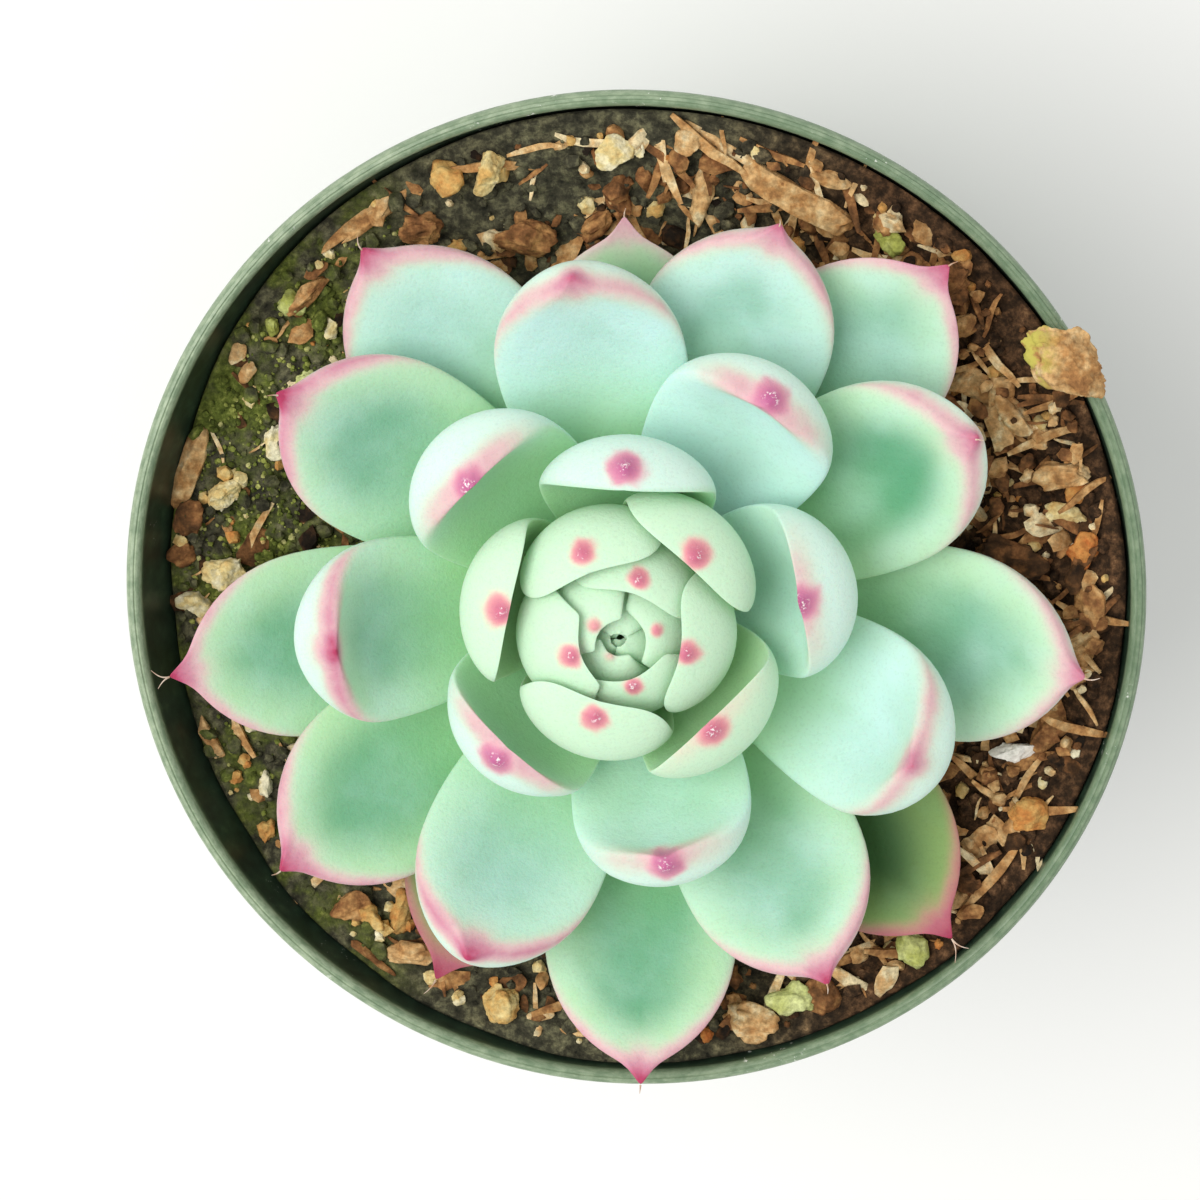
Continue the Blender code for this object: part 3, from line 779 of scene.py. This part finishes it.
# %% Carry a ball to the shape of the plug
SOIL_TOP_SHARE = 0.86   # of the rings, counted from the top
SOIL_EDGE_HEIGHT = 84.0   # about where the mix meets the wall
SOIL_FLOOR = FOOT_RECESS + FLOOR_THICKNESS + GAP
deselect()
bpy.ops.mesh.primitive_uv_sphere_add(segments=288, ring_count=150, radius=1.0)
soil = bpy.context.object
soil.name = "potting_mix"
for vertex in soil.data.vertices:
    level = math.acos(max(-1.0, min(1.0, vertex.co.z))) / math.pi
    turn = math.atan2(vertex.co.y, vertex.co.x)
    edge = inner_wall_radius(SOIL_EDGE_HEIGHT)
    edge_height = soil_height(edge * math.cos(turn), edge * math.sin(turn))
    edge = float(inner_wall_radius(edge_height)) - GAP
    if level <= SOIL_TOP_SHARE:
        radius = edge * level / SOIL_TOP_SHARE
        x, y = radius * math.cos(turn), radius * math.sin(turn)
        height = ground(x, y)
    else:
        down = (level - SOIL_TOP_SHARE) / (1 - SOIL_TOP_SHARE)
        height = max(SOIL_FLOOR, edge_height - down * 2 * (edge_height - SOIL_FLOOR))
        radius = (float(inner_wall_radius(height)) - GAP) * min(1.0, 2 * (1 - down))
        x, y = radius * math.cos(turn), radius * math.sin(turn)
    vertex.co = Vector((x, y, height)) * MM
print("soil points:", len(soil.data.vertices))


# %% Soil material
def mix_material():
    """Dark fines, browner on the right, with a green film of moss on the left."""
    peat, tree, shader = new_material("peat_and_bark_fines", Roughness=0.92, IOR=1.4,
                                      Specular_IOR_Level=0.25)
    place = add_node(tree, "ShaderNodeTexCoord").outputs["Object"]
    x = add_node(tree, "ShaderNodeSeparateXYZ", {"Vector": place}).outputs["X"]
    crumbs = noise_of(tree, 1.3, 5.0, 0.7)
    dark = ramp(tree, crumbs, ((0.30, "#1E1E17"), (0.48, "#424032"), (0.62, "#6C694F"),
                               (0.78, "#A19B78")))
    brown = ramp(tree, crumbs, ((0.30, "#18110B"), (0.48, "#38281A"), (0.62, "#634730"),
                                (0.78, "#A8825A")))
    colour = mixed(tree, spread(tree, x, 4 * MM, 26 * MM), dark, brown)
    mossy = maths(tree, "MULTIPLY", spread(tree, x, -20 * MM, -34 * MM),
                  spread(tree, noise_of(tree, 5.0, 4.0, 0.6), 0.38, 0.62))
    green = ramp(tree, noise_of(tree, 0.8, 3.0, 0.7), ((0.3, "#353D16"), (0.55, "#646E2E"),
                                                      (0.75, "#9CA052")))
    colour = mixed(tree, mossy, colour, green)
    tree.links.new(colour, shader.inputs["Base Color"])
    bumped(tree, shader, crumbs, 0.6, 0.5)
    return peat


peat = mix_material()
finish(soil, peat, "soil", "soil")

# %% [markdown]
# ## Bark, pumice and perlite
#
# One rough surface serves all the lumps, with its colours chosen by a number called tone that
# is stored on each piece: dark damp bark to pale dry splinters, or cream pumice to rusty.


# %% Materials of the loose pieces
def litter_material(name, tones, grain_mm, hollow_shade, roughness, bump):
    """Tones from 0 to 1, with painted shade in the hollows of the grain and a little painted
    light on its ridges.
    """
    rough, tree, shader = new_material(name, Roughness=roughness, IOR=1.45,
                                       Specular_IOR_Level=0.25)
    grain = noise_of(tree, grain_mm, 4.0, 0.7)
    tone = maths(tree, "ADD", attribute(tree, "tone"),
                 spread(tree, noise_of(tree, 1.8, 3.0, 0.6), 0.25, 0.75, -0.20, 0.20), True)
    colour = ramp(tree, tone, tones)
    # Painted shade in the hollows of the grain, painted light on its ridges
    colour = mixed(tree, 1.0, colour, spread(tree, grain, 0.3, 0.7, hollow_shade, 1.12), "MULTIPLY")
    # Pale yellow on the rim chunk's left end: partly lichen, partly painted light from the lamp
    # on that side
    lichen = maths(tree, "MULTIPLY", attribute(tree, "lichen"),
                   spread(tree, noise_of(tree, 1.6, 3.0, 0.6), 0.38, 0.55))
    colour = mixed(tree, lichen, colour, "#C2B85A")
    tree.links.new(colour, shader.inputs["Base Color"])
    bumped(tree, shader, grain, bump, 0.25)
    return rough


bark = litter_material("weathered_pine_bark", (
    (0.0, "#21180F"), (0.25, "#553A22"), (0.45, "#8C5E38"), (0.65, "#BD8C56"), (0.85, "#DCB57E"),
    (1.0, "#F0DDB0")), 0.7, 0.58, 0.88, 0.7)
pumice = litter_material("horticultural_pumice", (
    (0.0, "#EFE6C4"), (0.2, "#E3CF93"), (0.45, "#D6AE68"), (0.7, "#C98B4A"), (1.0, "#B4622E")),
    0.55, 0.72, 0.9, 0.6)
perlite = litter_material("expanded_perlite", ((0.0, "#F4F0E6"), (1.0, "#D9CDB8")),
                          0.6, 0.8, 0.85, 0.5)
algae = litter_material("algae_on_pumice", (
    (0.0, "#D9DE9B"), (0.5, "#AFB45A"), (1.0, "#7D8640")), 0.6, 0.65, 0.9, 0.6)
LITTER = {"bark": bark, "pumice": pumice, "perlite": perlite}

# %% [markdown]
# ## The larger loose pieces
#
# The engineering model has nineteen of them as simple blocks. Each is copied, its loose
# triangles are merged, it is subdivided and rounded, and then it is pressed flat on some sides
# as a snapped lump is. Last, its skin is carried in and out: along the grain for bark, which
# splits into fibres, and in round bubbles for pumice.


# %% Break and roughen a lump
CUT_AWAY = 1.10   # the size given back after the flats are pressed in
ROUNDED_AWAY = 1.08   # and after the corners are rounded


def own_axes(points):
    """Unit axes of a piece, longest first."""
    return np.linalg.svd(points - points.mean(0), full_matrices=False)[2]


def broken(points, seed, flats=11):
    """Points in mm pressed flat against random planes."""
    middle, axes = points.mean(0), own_axes(points)
    local = (points - middle) @ axes.T
    half = np.ptp(local, axis=0) / 2
    local = local / half
    draw = random.Random(seed)
    for _ in range(flats):
        outward = np.array(Vector([draw.gauss(0, 1) for _ in range(3)]).normalized())
        over = local @ outward - draw.uniform(0.55, 0.80)
        local = local - np.maximum(over, 0)[:, None] * outward
    return (local * half * CUT_AWAY) @ axes + middle


def roughen(points, seed, fibrous, depth):
    """Points in mm broken, then moved in and out: split along the grain, or bubbled."""
    points = broken(points, seed[0])
    middle, axes = points.mean(0), own_axes(points)
    size = np.ptp((points - middle) @ axes.T, axis=0)
    moved = []
    for point in points:
        local = axes @ (point - middle)
        ray = (point - middle) / max(np.linalg.norm(point - middle), 1e-6)
        if fibrous:
            spot = Vector((local[0] * 0.22, local[1] * 1.3, local[2] * 1.3)) + Vector(seed)
            push = noise.noise(spot) + 0.6 * abs(noise.noise(spot * 2.3)) - 0.25
            push += 0.5 * noise.noise(Vector(local * 0.5) + Vector(seed))
        else:
            spot = Vector(local * (1.7 / max(size[1], 1.0))) + Vector(seed)
            push = 0.9 * noise.noise(spot * 0.9) + 0.35 * noise.noise(spot * 2.6)
            push += 0.35 * (0.5 - noise.voronoi(spot * 2.0)[0][0]) + 0.2 * noise.noise(spot * 6.0)
        moved.append(point + ray * push * depth * size[2])
    return np.array(moved)


# %% The tone of each piece
TONES = {
    "bark": {
        "bark_chunk_on_rim": 0.72, "bark_lump_northeast": 0.42, "bark_lump_red": 0.26,
        "bark_strip_long": 0.72, "bark_stick_north": 0.50, "bark_lump_north": 0.50,
        "bark_lump_northwest": 0.50, "bark_strip_west": 0.62, "bark_piece_southwest": 0.74,
        "bark_fibrous_east": 0.74, "bark_almond_east": 0.32, "bark_chip_east": 0.68},
    "pumice": {
        "pumice_block_west": 0.20, "pumice_lump_west": 0.25, "pumice_heart_north": 0.18,
        "pumice_lump_south": 0.40, "pumice_north": 0.30, "pumice_orange_east": 0.66},
    "perlite": {"perlite_kidney_east": 0.10},
}
RIM_CHUNK = "bark_chunk_on_rim"   # it overhangs the rim, and its inner, left end is painted pale yellow: partly lichen, partly painted light where the lamp falls
SETTLED = 0.6   # how far the others are settled into the crumbs, in mm
ROUGH_DEPTH = {"bark": 0.18, "pumice": 0.24, "perlite": 0.24}   # shares of the thickness


# %% Make the nineteen pieces
def loose_piece(name, kind, tone):
    piece = copy_node(name, name + "_piece")
    modify(piece, "SUBSURF", subdivision_type="SIMPLE", levels=3, render_levels=3)
    modify(piece, "SMOOTH", factor=0.5, iterations=3)
    points = points_of(piece)
    middle = points.mean(0)
    draw = random.Random(name)
    seed = [draw.uniform(0, 40) for _ in range(3)]
    points = roughen((points - middle) * ROUNDED_AWAY + middle, seed, kind == "bark",
                     ROUGH_DEPTH[kind])
    lichen = np.zeros(len(points))
    # The rim chunk's left end, which faces the lamp, gets the yellow of lichen and painted light
    if name == RIM_CHUNK:
        lichen = smooth(middle[0] - points[:, 0], 0.5, 4.0)
    else:
        higher = (soil_height(middle[0], middle[1])
                  - soil_height(middle[0], middle[1], MODEL_RISE))
        points[:, 2] += higher - SETTLED
    set_points(piece, points)
    store(piece, tone=np.full(len(points), tone), lichen=lichen)
    finish(piece, LITTER[kind], kind, name)


for kind, tones in TONES.items():
    for name, tone in tones.items():
        loose_piece(name, kind, tone)
    print(kind, "pieces made:", len(tones))

# %% [markdown]
# ## The middling pieces
#
# Between the large pieces lie several dozen of middling size: tan and ochre crumbs, splinters,
# popcorn-like pumice, and a few lumps green with algae. They are one ball each, squashed to
# size, turned, roughened and dropped on the soil, and those of one kind are joined.

# %% Place (x, y), length and width in mm, turn in degrees, and tone of each
MIDDLING = {
    "bark": (
        (-25.8, 39.2, 10, 1.4, 35, .70), (-41.1, 24.4, 2.4, 1.6, 70, .90),
        (-40.3, 22.5, 2.6, 1.8, 50, .80), (-48.0, 2.9, 3, 2.8, 0, .45),
        (-46.8, 12.0, 9, 2.6, 70, .75), (-46.6, 6.6, 4, 3, 80, .40),
        (-45.1, -17.0, 6.5, 1.6, -65, .75), (-30.2, -34.7, 4.4, 3.4, 30, .55),
        (-9.8, -45.7, 3.2, 1.2, 10, .85), (-28.0, -40.0, 6.5, 1.2, -40, .50),
        (12.8, -45.6, 5.5, 5, 20, .80), (20.1, -42.3, 4.2, 4.4, 0, .45),
        (22.8, -40.8, 6.2, 2, -35, .95), (24.0, -38.5, 2, 2, 0, .80),
        (35.0, 8.8, 2.6, 3.4, 30, .80), (33.6, 23.0, 4.2, 3, 20, .75),
        (37.1, 21.6, 3, 3.6, 0, .75), (38.4, 19.5, 5, 3, -45, .80),
        (40.4, 18.1, 3.4, 2, 0, .90), (5.7, 46.9, 3, 2.4, 0, .85),
        (10.6, 45.7, 12, 1.4, -32, .85), (7.1, 41.5, 6.4, 2.4, 80, .80),
        (8.8, 44.8, 2.6, 2.2, 0, .70), (19.6, 43.4, 4.4, 2, -25, .75),
        (28.3, 35.1, 2.4, 2, 0, .60), (19.3, 33.8, 6.2, 1.3, 3, .50),
        (45.6, -4.3, 6.4, 4.4, 15, .70), (46.8, 0.3, 3, 5, 0, .60),
        (43.1, -13.2, 5, 3, 50, .50), (35.5, -32.8, 3, 2, 0, .60),
        (-29.0, 37.7, 8, 1.2, 40, .70), (31.6, 19.7, 1.8, 3.2, 20, .50)),
    "pumice": (
        (-19.1, 43.1, 4, 3.4, 20, .55), (-18.3, 35.7, 2.2, 2, 0, .50),
        (-31.2, 35.2, 1.6, 1.4, 0, .10), (-31.4, 27.0, 1.6, 2.4, 0, .15),
        (-37.5, 15.1, 1.9, 4.6, 0, .10), (-42.6, 9.9, 2.6, 2, 0, .20),
        (-46.6, -2.5, 3.2, 3, 0, .15), (-39.3, -26.9, 2, 2.6, 0, .60),
        (-39.2, -21.9, 1.7, 2.8, 0, .05), (-24.9, -35.4, 2.4, 4.6, 0, .55),
        (-27.9, -35.9, 3, 2.4, 0, .50), (-27.0, -37.9, 1.3, 1.2, 0, .10),
        (-21.4, -42.1, 1.8, 1.5, 0, .25), (-14.4, -44.7, 2.6, 4.2, 0, .40),
        (7.9, -46.8, 1.6, 2, 0, .80), (45.9, 5.9, 3.4, 4, 0, .85),
        (44.0, 9.7, 4, 2.2, -10, .30), (0.6, 46.1, 1.2, 1.4, 0, .05),
        (44.9, 12.2, 2.6, 2.4, 0, .75)),
    "algae": (
        (-34.9, 29.7, 3.2, 2.4, -20, .35), (-37.3, 27.3, 1.8, 1.8, 0, .50),
        (16.8, -43.1, 5, 4.2, 0, .15), (29.8, -36.8, 3.4, 4, 0, .30),
        (25.7, 37.3, 3, 3, 0, .60), (-34.3, 21.6, 2.3, 1.9, 0, .05)),
}
MIDDLING_FINISH = {"bark": (bark, "bark"), "pumice": (pumice, "pumice"),
                   "algae": (algae, "pumice")}
MIDDLING_ROUGH_DEPTH = {"bark": 0.22, "pumice": 0.32, "algae": 0.32}


# %% One of them
def inside_wall(x, y, reach, height=85.0):
    """The place moved in, if need be, so that a piece of this reach clears the wall."""
    most = float(inner_wall_radius(height)) - GAP - reach
    out = math.hypot(x, y)
    return (x, y) if out <= most else (x * most / out, y * most / out)


deselect()
bpy.ops.mesh.primitive_ico_sphere_add(subdivisions=4, radius=1.0)
ball_blank = bpy.context.object
round_points = points_of(ball_blank) * MM   # in units of its radius


def middling_piece(kind, index, x, y, length, width, turn, tone):
    draw = random.Random(f"{kind}{index}")
    seed = [draw.uniform(0, 40) for _ in range(3)]
    piece = copy_blank(ball_blank, f"{kind}_{index}")
    fibrous = kind == "bark"
    high = (0.6 if fibrous else 0.75) * min(length, width)
    shape = np.sign(round_points) * np.abs(round_points) ** 0.8
    shape = roughen(shape * np.array([length, width, high]) / 2, seed, fibrous,
                    MIDDLING_ROUGH_DEPTH[kind])
    cosine, sine = math.cos(math.radians(turn)), math.sin(math.radians(turn))
    x, y = inside_wall(x, y, 0.4 * width)
    shape = shape @ np.array([[cosine, sine, 0], [-sine, cosine, 0], [0, 0, 1]])
    set_points(piece, shape + np.array([x, y, ground(x, y) + 0.38 * high]))
    store(piece, tone=np.full(len(shape), tone), lichen=np.zeros(len(shape)))
    return piece


# %% Make them
for kind, places in MIDDLING.items():
    select(*[middling_piece(kind, index, *place) for index, place in enumerate(places)])
    bpy.ops.object.join()
    joined = bpy.context.object
    joined.name = joined.data.name = f"middling_{kind}"
    finish(joined, *MIDDLING_FINISH[kind])
    print(joined.name, len(places), "pieces")
bpy.data.objects.remove(ball_blank)

# %% [markdown]
# ## The fine litter
#
# Over five thousand small things cover the soil: bark crumbs and flakes, coir fibres, grit, dark
# crumbs, and moss on the damp left side. A few blanks of each, with 20 to 80 faces, are modelled
# and then copied with their own size, turn and tone. Each kind is one mesh.


# %% Blanks
def mesh_arrays(piece):
    """A blank's points, in its own units, and its triangles. The blank is removed."""
    piece.data.calc_loop_triangles()
    faces = np.array([triangle.vertices[:] for triangle in piece.data.loop_triangles])
    points = points_of(piece) * MM
    bpy.data.objects.remove(piece)
    return points, faces


def crumb_blank(seed, flat=1.0, finer=2):
    """A crumb: a small ball made blocky and uneven."""
    deselect()
    bpy.ops.mesh.primitive_ico_sphere_add(subdivisions=finer, radius=0.5)
    points, faces = mesh_arrays(bpy.context.object)
    push = [1 + 0.45 * noise.noise(Vector(p) * 3.2 + Vector((seed, 0, 0))) for p in points]
    blocky = points / np.abs(points).max(1)[:, None] * 0.42
    return (points * 0.6 + blocky * 0.4) * np.array(push)[:, None] * (1, 1, flat), faces


def strip_blank(seed, cuts):
    """A splinter: a bar cut across several times, bent and tapered."""
    deselect()
    bpy.ops.mesh.primitive_cube_add(size=1.0)
    bar = bpy.context.object
    bpy.ops.object.mode_set(mode="EDIT")
    for cut in range(1, cuts):
        bpy.ops.mesh.select_all(action="SELECT")
        bpy.ops.mesh.bisect(plane_co=(cut / cuts - 0.5, 0, 0), plane_no=(1, 0, 0))
    bpy.ops.object.mode_set(mode="OBJECT")
    points, faces = mesh_arrays(bar)
    along = points[:, 0] * 2
    taper = 1 - 0.55 * np.abs(along) ** 2
    points[:, 1] = points[:, 1] * taper
    points[:, 2] *= taper
    points[:, 1] += 0.9 * np.array([noise.noise(Vector((a * 0.9, seed, 0))) for a in along])
    points[:, 2] += 0.7 * np.array([noise.noise(Vector((a * 0.9, 0, seed))) for a in along])
    return points, faces


# %% Scatter copies of the blanks
def facing(bearing, towards, width):
    """1 where a bearing in degrees is towards a side, falling to 0 width degrees away."""
    away = abs((bearing - towards + 180) % 360 - 180)
    return max(0.0, 1 - away / width)


def scatter(name, blanks, count, seed, sizes, weight, tones, lift, tilt, material, slot,
            reach=(22, 48.6)):
    """One mesh of many copies between two radii. Sizes are ranges of length, width and height
    in mm. Weight is the chance that a place is kept. Tones and lift are drawn for each copy."""
    draw = random.Random(seed)
    all_points, all_faces, all_tones, start = [], [], [], 0
    while len(all_points) < count:
        bearing = draw.uniform(0, 360)
        radius = math.sqrt(draw.uniform(reach[0] ** 2, reach[1] ** 2))
        if draw.random() > weight(bearing, radius):
            continue
        points, faces = blanks[draw.randrange(len(blanks))]
        share = draw.random() ** 1.6
        size = np.array([low + (high - low) * share for low, high in sizes])
        shape = points * size
        turn = Matrix.Rotation(draw.uniform(0, 2 * math.pi), 3, "Z")
        lean = Matrix.Rotation(math.radians(draw.uniform(-tilt, tilt)), 3,
                               Vector((draw.uniform(-1, 1), draw.uniform(-1, 1), 0)))
        shape = shape @ np.array(lean @ turn).T
        x = radius * math.cos(math.radians(bearing))
        y = radius * math.sin(math.radians(bearing))
        x, y = inside_wall(x, y, 0.45 * float(np.hypot(shape[:, 0], shape[:, 1]).max()))
        shape = shape + np.array([x, y, ground(x, y) + lift(draw, bearing) + 0.25 * size[2]])
        all_points.append(shape)
        all_faces.append(faces + start)
        all_tones.append(np.full(len(shape), tones(draw, bearing)))
        start += len(shape)
    mesh = bpy.data.meshes.new(name)
    mesh.from_pydata((np.concatenate(all_points) * MM).tolist(), [],
                     np.concatenate(all_faces).tolist())
    piece = bpy.data.objects.new(name, mesh)
    scene.collection.objects.link(piece)
    tone = np.concatenate(all_tones)
    store(piece, tone=tone, lichen=np.zeros(len(tone)))
    finish(piece, material, slot, angle=32)
    print(name, count, "pieces,", len(mesh.polygons), "faces")


# %% Bark crumbs and flakes
crumbs = [crumb_blank(seed) for seed in range(5)]
flakes = [crumb_blank(seed + 20, 0.5) for seed in range(4)]
specks = [crumb_blank(seed + 40, finer=1) for seed in range(5)]
strips = [strip_blank(seed + 1.3, 5) for seed in range(5)]


def bark_weight(bearing, radius):
    """Most on the right, less behind and in front, least on the left."""
    return min(1.0, 0.22 + facing(bearing, 10, 95) + 0.5 * facing(bearing, 80, 50)
               + 0.5 * facing(bearing, 290, 50))


def bark_tone(draw, bearing):
    return min(1.0, max(0.0, draw.gauss(0.46 + 0.16 * facing(bearing, 10, 90), 0.27)))


def piled(draw, bearing):
    """How far a crumb lies above the ground, in mm: heaped on the right."""
    return draw.uniform(-0.2, 0.3 + 1.3 * facing(bearing, 15, 80))


scatter("bark_crumbs", crumbs, 520, 11, ((0.7, 3.4), (0.6, 2.4), (0.5, 1.8)), bark_weight,
        bark_tone, piled, 50, bark, "bark")
scatter("bark_flakes", flakes, 340, 12, ((1.4, 5.4), (0.8, 3.2), (0.4, 1.3)), bark_weight,
        bark_tone, piled, 35, bark, "bark")
scatter("coir_fibres", strips, 520, 13, ((2.0, 9.5), (0.22, 1.1), (0.16, 0.5)), bark_weight,
        lambda draw, bearing: draw.uniform(0.35, 1.0), piled, 22, bark, "bark")

# %% Grit, dark crumbs and moss
scatter("pumice_grit", crumbs, 300, 14, ((0.5, 2.1), (0.5, 1.8), (0.4, 1.4)),
        lambda bearing, radius: 0.6, lambda draw, bearing: draw.uniform(0.0, 0.75),
        lambda draw, bearing: draw.uniform(-0.1, 0.2), 60, pumice, "pumice")
scatter("dark_crumbs", specks, 1500, 15, ((0.5, 2.4), (0.5, 2.0), (0.4, 1.5)),
        lambda bearing, radius: 0.8, lambda draw, bearing: draw.uniform(0.0, 0.22),
        lambda draw, bearing: draw.uniform(-0.2, 0.2), 60, peat, "soil")
moss = litter_material("cushion_moss", (
    (0.0, "#464F1E"), (0.4, "#757F38"), (0.75, "#A8AD58"), (1.0, "#CBC684")), 0.5, 0.6, 0.9, 0.6)
scatter("moss_tufts", specks[:2], 2200, 16, ((0.2, 0.8), (0.2, 0.7), (0.2, 0.6)),
        lambda bearing, radius: facing(bearing, 168, 48) ** 0.7,
        lambda draw, bearing: draw.random() ** 1.3,
        lambda draw, bearing: draw.uniform(-0.1, 0.1), 60, moss, "soil", reach=(26, 47.5))

# %% [markdown]
# ## The stem
#
# Under the rosette is a short corky stem ringed with the scars of old leaves. It hardly shows.
# The model's stem is copied, merged, subdivided and roughened.

# %% Stem
stem = copy_node("stem", "stem_corky")
bpy.ops.object.mode_set(mode="EDIT")
bpy.ops.mesh.select_all(action="SELECT")
bpy.ops.mesh.subdivide(number_cuts=3)
bpy.ops.object.mode_set(mode="OBJECT")
points = points_of(stem)
from_axis = points - np.array([*PLANT_CENTRE, 0.0])
scars = np.array([0.96 + 0.03 * math.sin(p[2] * 3.0) + 0.03 * noise.noise(Vector(p) * 0.9)
                  for p in from_axis])
points[:, :2] = from_axis[:, :2] * scars[:, None] + np.array(PLANT_CENTRE)
set_points(stem, points)
cork, tree, shader = new_material("green_cork", Roughness=0.8, IOR=1.42)
grain = noise_of(tree, 1.2, 4.0, 0.65)
tree.links.new(ramp(tree, grain, ((0.3, "#6E7B3D"), (0.55, "#93A45C"), (0.75, "#B79A68"))),
               shader.inputs["Base Color"])
bumped(tree, shader, grain, 0.5, 0.4)
finish(stem, cork, "stem", "stem")

# %% [markdown]
# ## Dried hairs
#
# Each outer leaf ends in a short dry hair, the withered remains of its point. They are drawn as
# thin tapered curves from the leaf's tip, then turned into mesh and joined.

# %% Hairs: leaf number, length in mm, sideways curl, lift
HAIRS = ((2, 0.96, 0.2, 0.3), (3, 2.04, 0.7, 0.1), (3, 1.8, -0.5, 0.3), (4, 1.68, 0.8, 0.3),
         (4, 1.32, -0.7, 0.5), (5, 1.08, 0.3, 0.4), (6, 0.84, 0.1, 0.3), (7, 1.56, 0.5, 0.4),
         (8, 1.68, -0.4, 0.2), (9, 0.96, 0.4, 0.2), (10, 0.84, -0.3, 0.3), (11, 0.96, 0.4, 0.2),
         (12, 1.02, -0.5, 0.4), (13, 0.9, 0.5, 0.4), (1, 1.8, 0.3, 0.2))
HAIR_START = ((1, 8, 14, 17), (1.9, 1.8, 1.6, 0.9))   # mm past the tip, by leaf number
HAIR_RADIUS, HAIR_STEPS = 0.10, 5


# %% Draw one hair
def tip_hair(number, long, curl, lift):
    """A curve from the tip of a leaf, thinner towards its end."""
    tip = one_point(number, *LEAVES[number - 1], 1.0, 0)
    ahead = tip - one_point(number, *LEAVES[number - 1], 0.9, 0)
    ahead /= np.linalg.norm(ahead)
    sideways = np.cross(ahead, (0, 0, 1))
    start = tip + ahead * np.interp(number, *HAIR_START)
    line = bpy.data.curves.new("hair", "CURVE")
    line.dimensions, line.bevel_depth, line.bevel_resolution = "3D", HAIR_RADIUS * MM, 1
    line.use_fill_caps = True
    spline = line.splines.new("NURBS")
    spline.points.add(HAIR_STEPS)
    for step, spot in enumerate(spline.points):
        share = step / HAIR_STEPS
        place = start + long * (ahead * share + sideways * curl * share**2
                                + np.array([0, 0, lift]) * math.sin(share * 2.2) * 0.6)
        spot.co = (*(place * MM), 1.0)
        spot.radius = 1.0 - 0.75 * share
    spline.use_endpoint_u = True
    spline.order_u = 4
    spline.resolution_u = 3
    hair = bpy.data.objects.new("hair", line)
    scene.collection.objects.link(hair)
    return hair


# %% Draw them all and join them
dry, tree, shader = new_material("dried_leaf_hair", Roughness=0.6, IOR=1.45)
tree.links.new(ramp(tree, noise_of(tree, 0.8, 2.0), ((0.3, "#B98A6A"), (0.6, "#E2CDBB"))),
               shader.inputs["Base Color"])
select(*[tip_hair(*hair) for hair in HAIRS])
bpy.ops.object.convert(target="MESH")
bpy.ops.object.join()
hairs = bpy.context.object
hairs.name = "tip_hairs"
finish(hairs, dry, "leaf_old")
print(len(HAIRS), "hairs drawn")
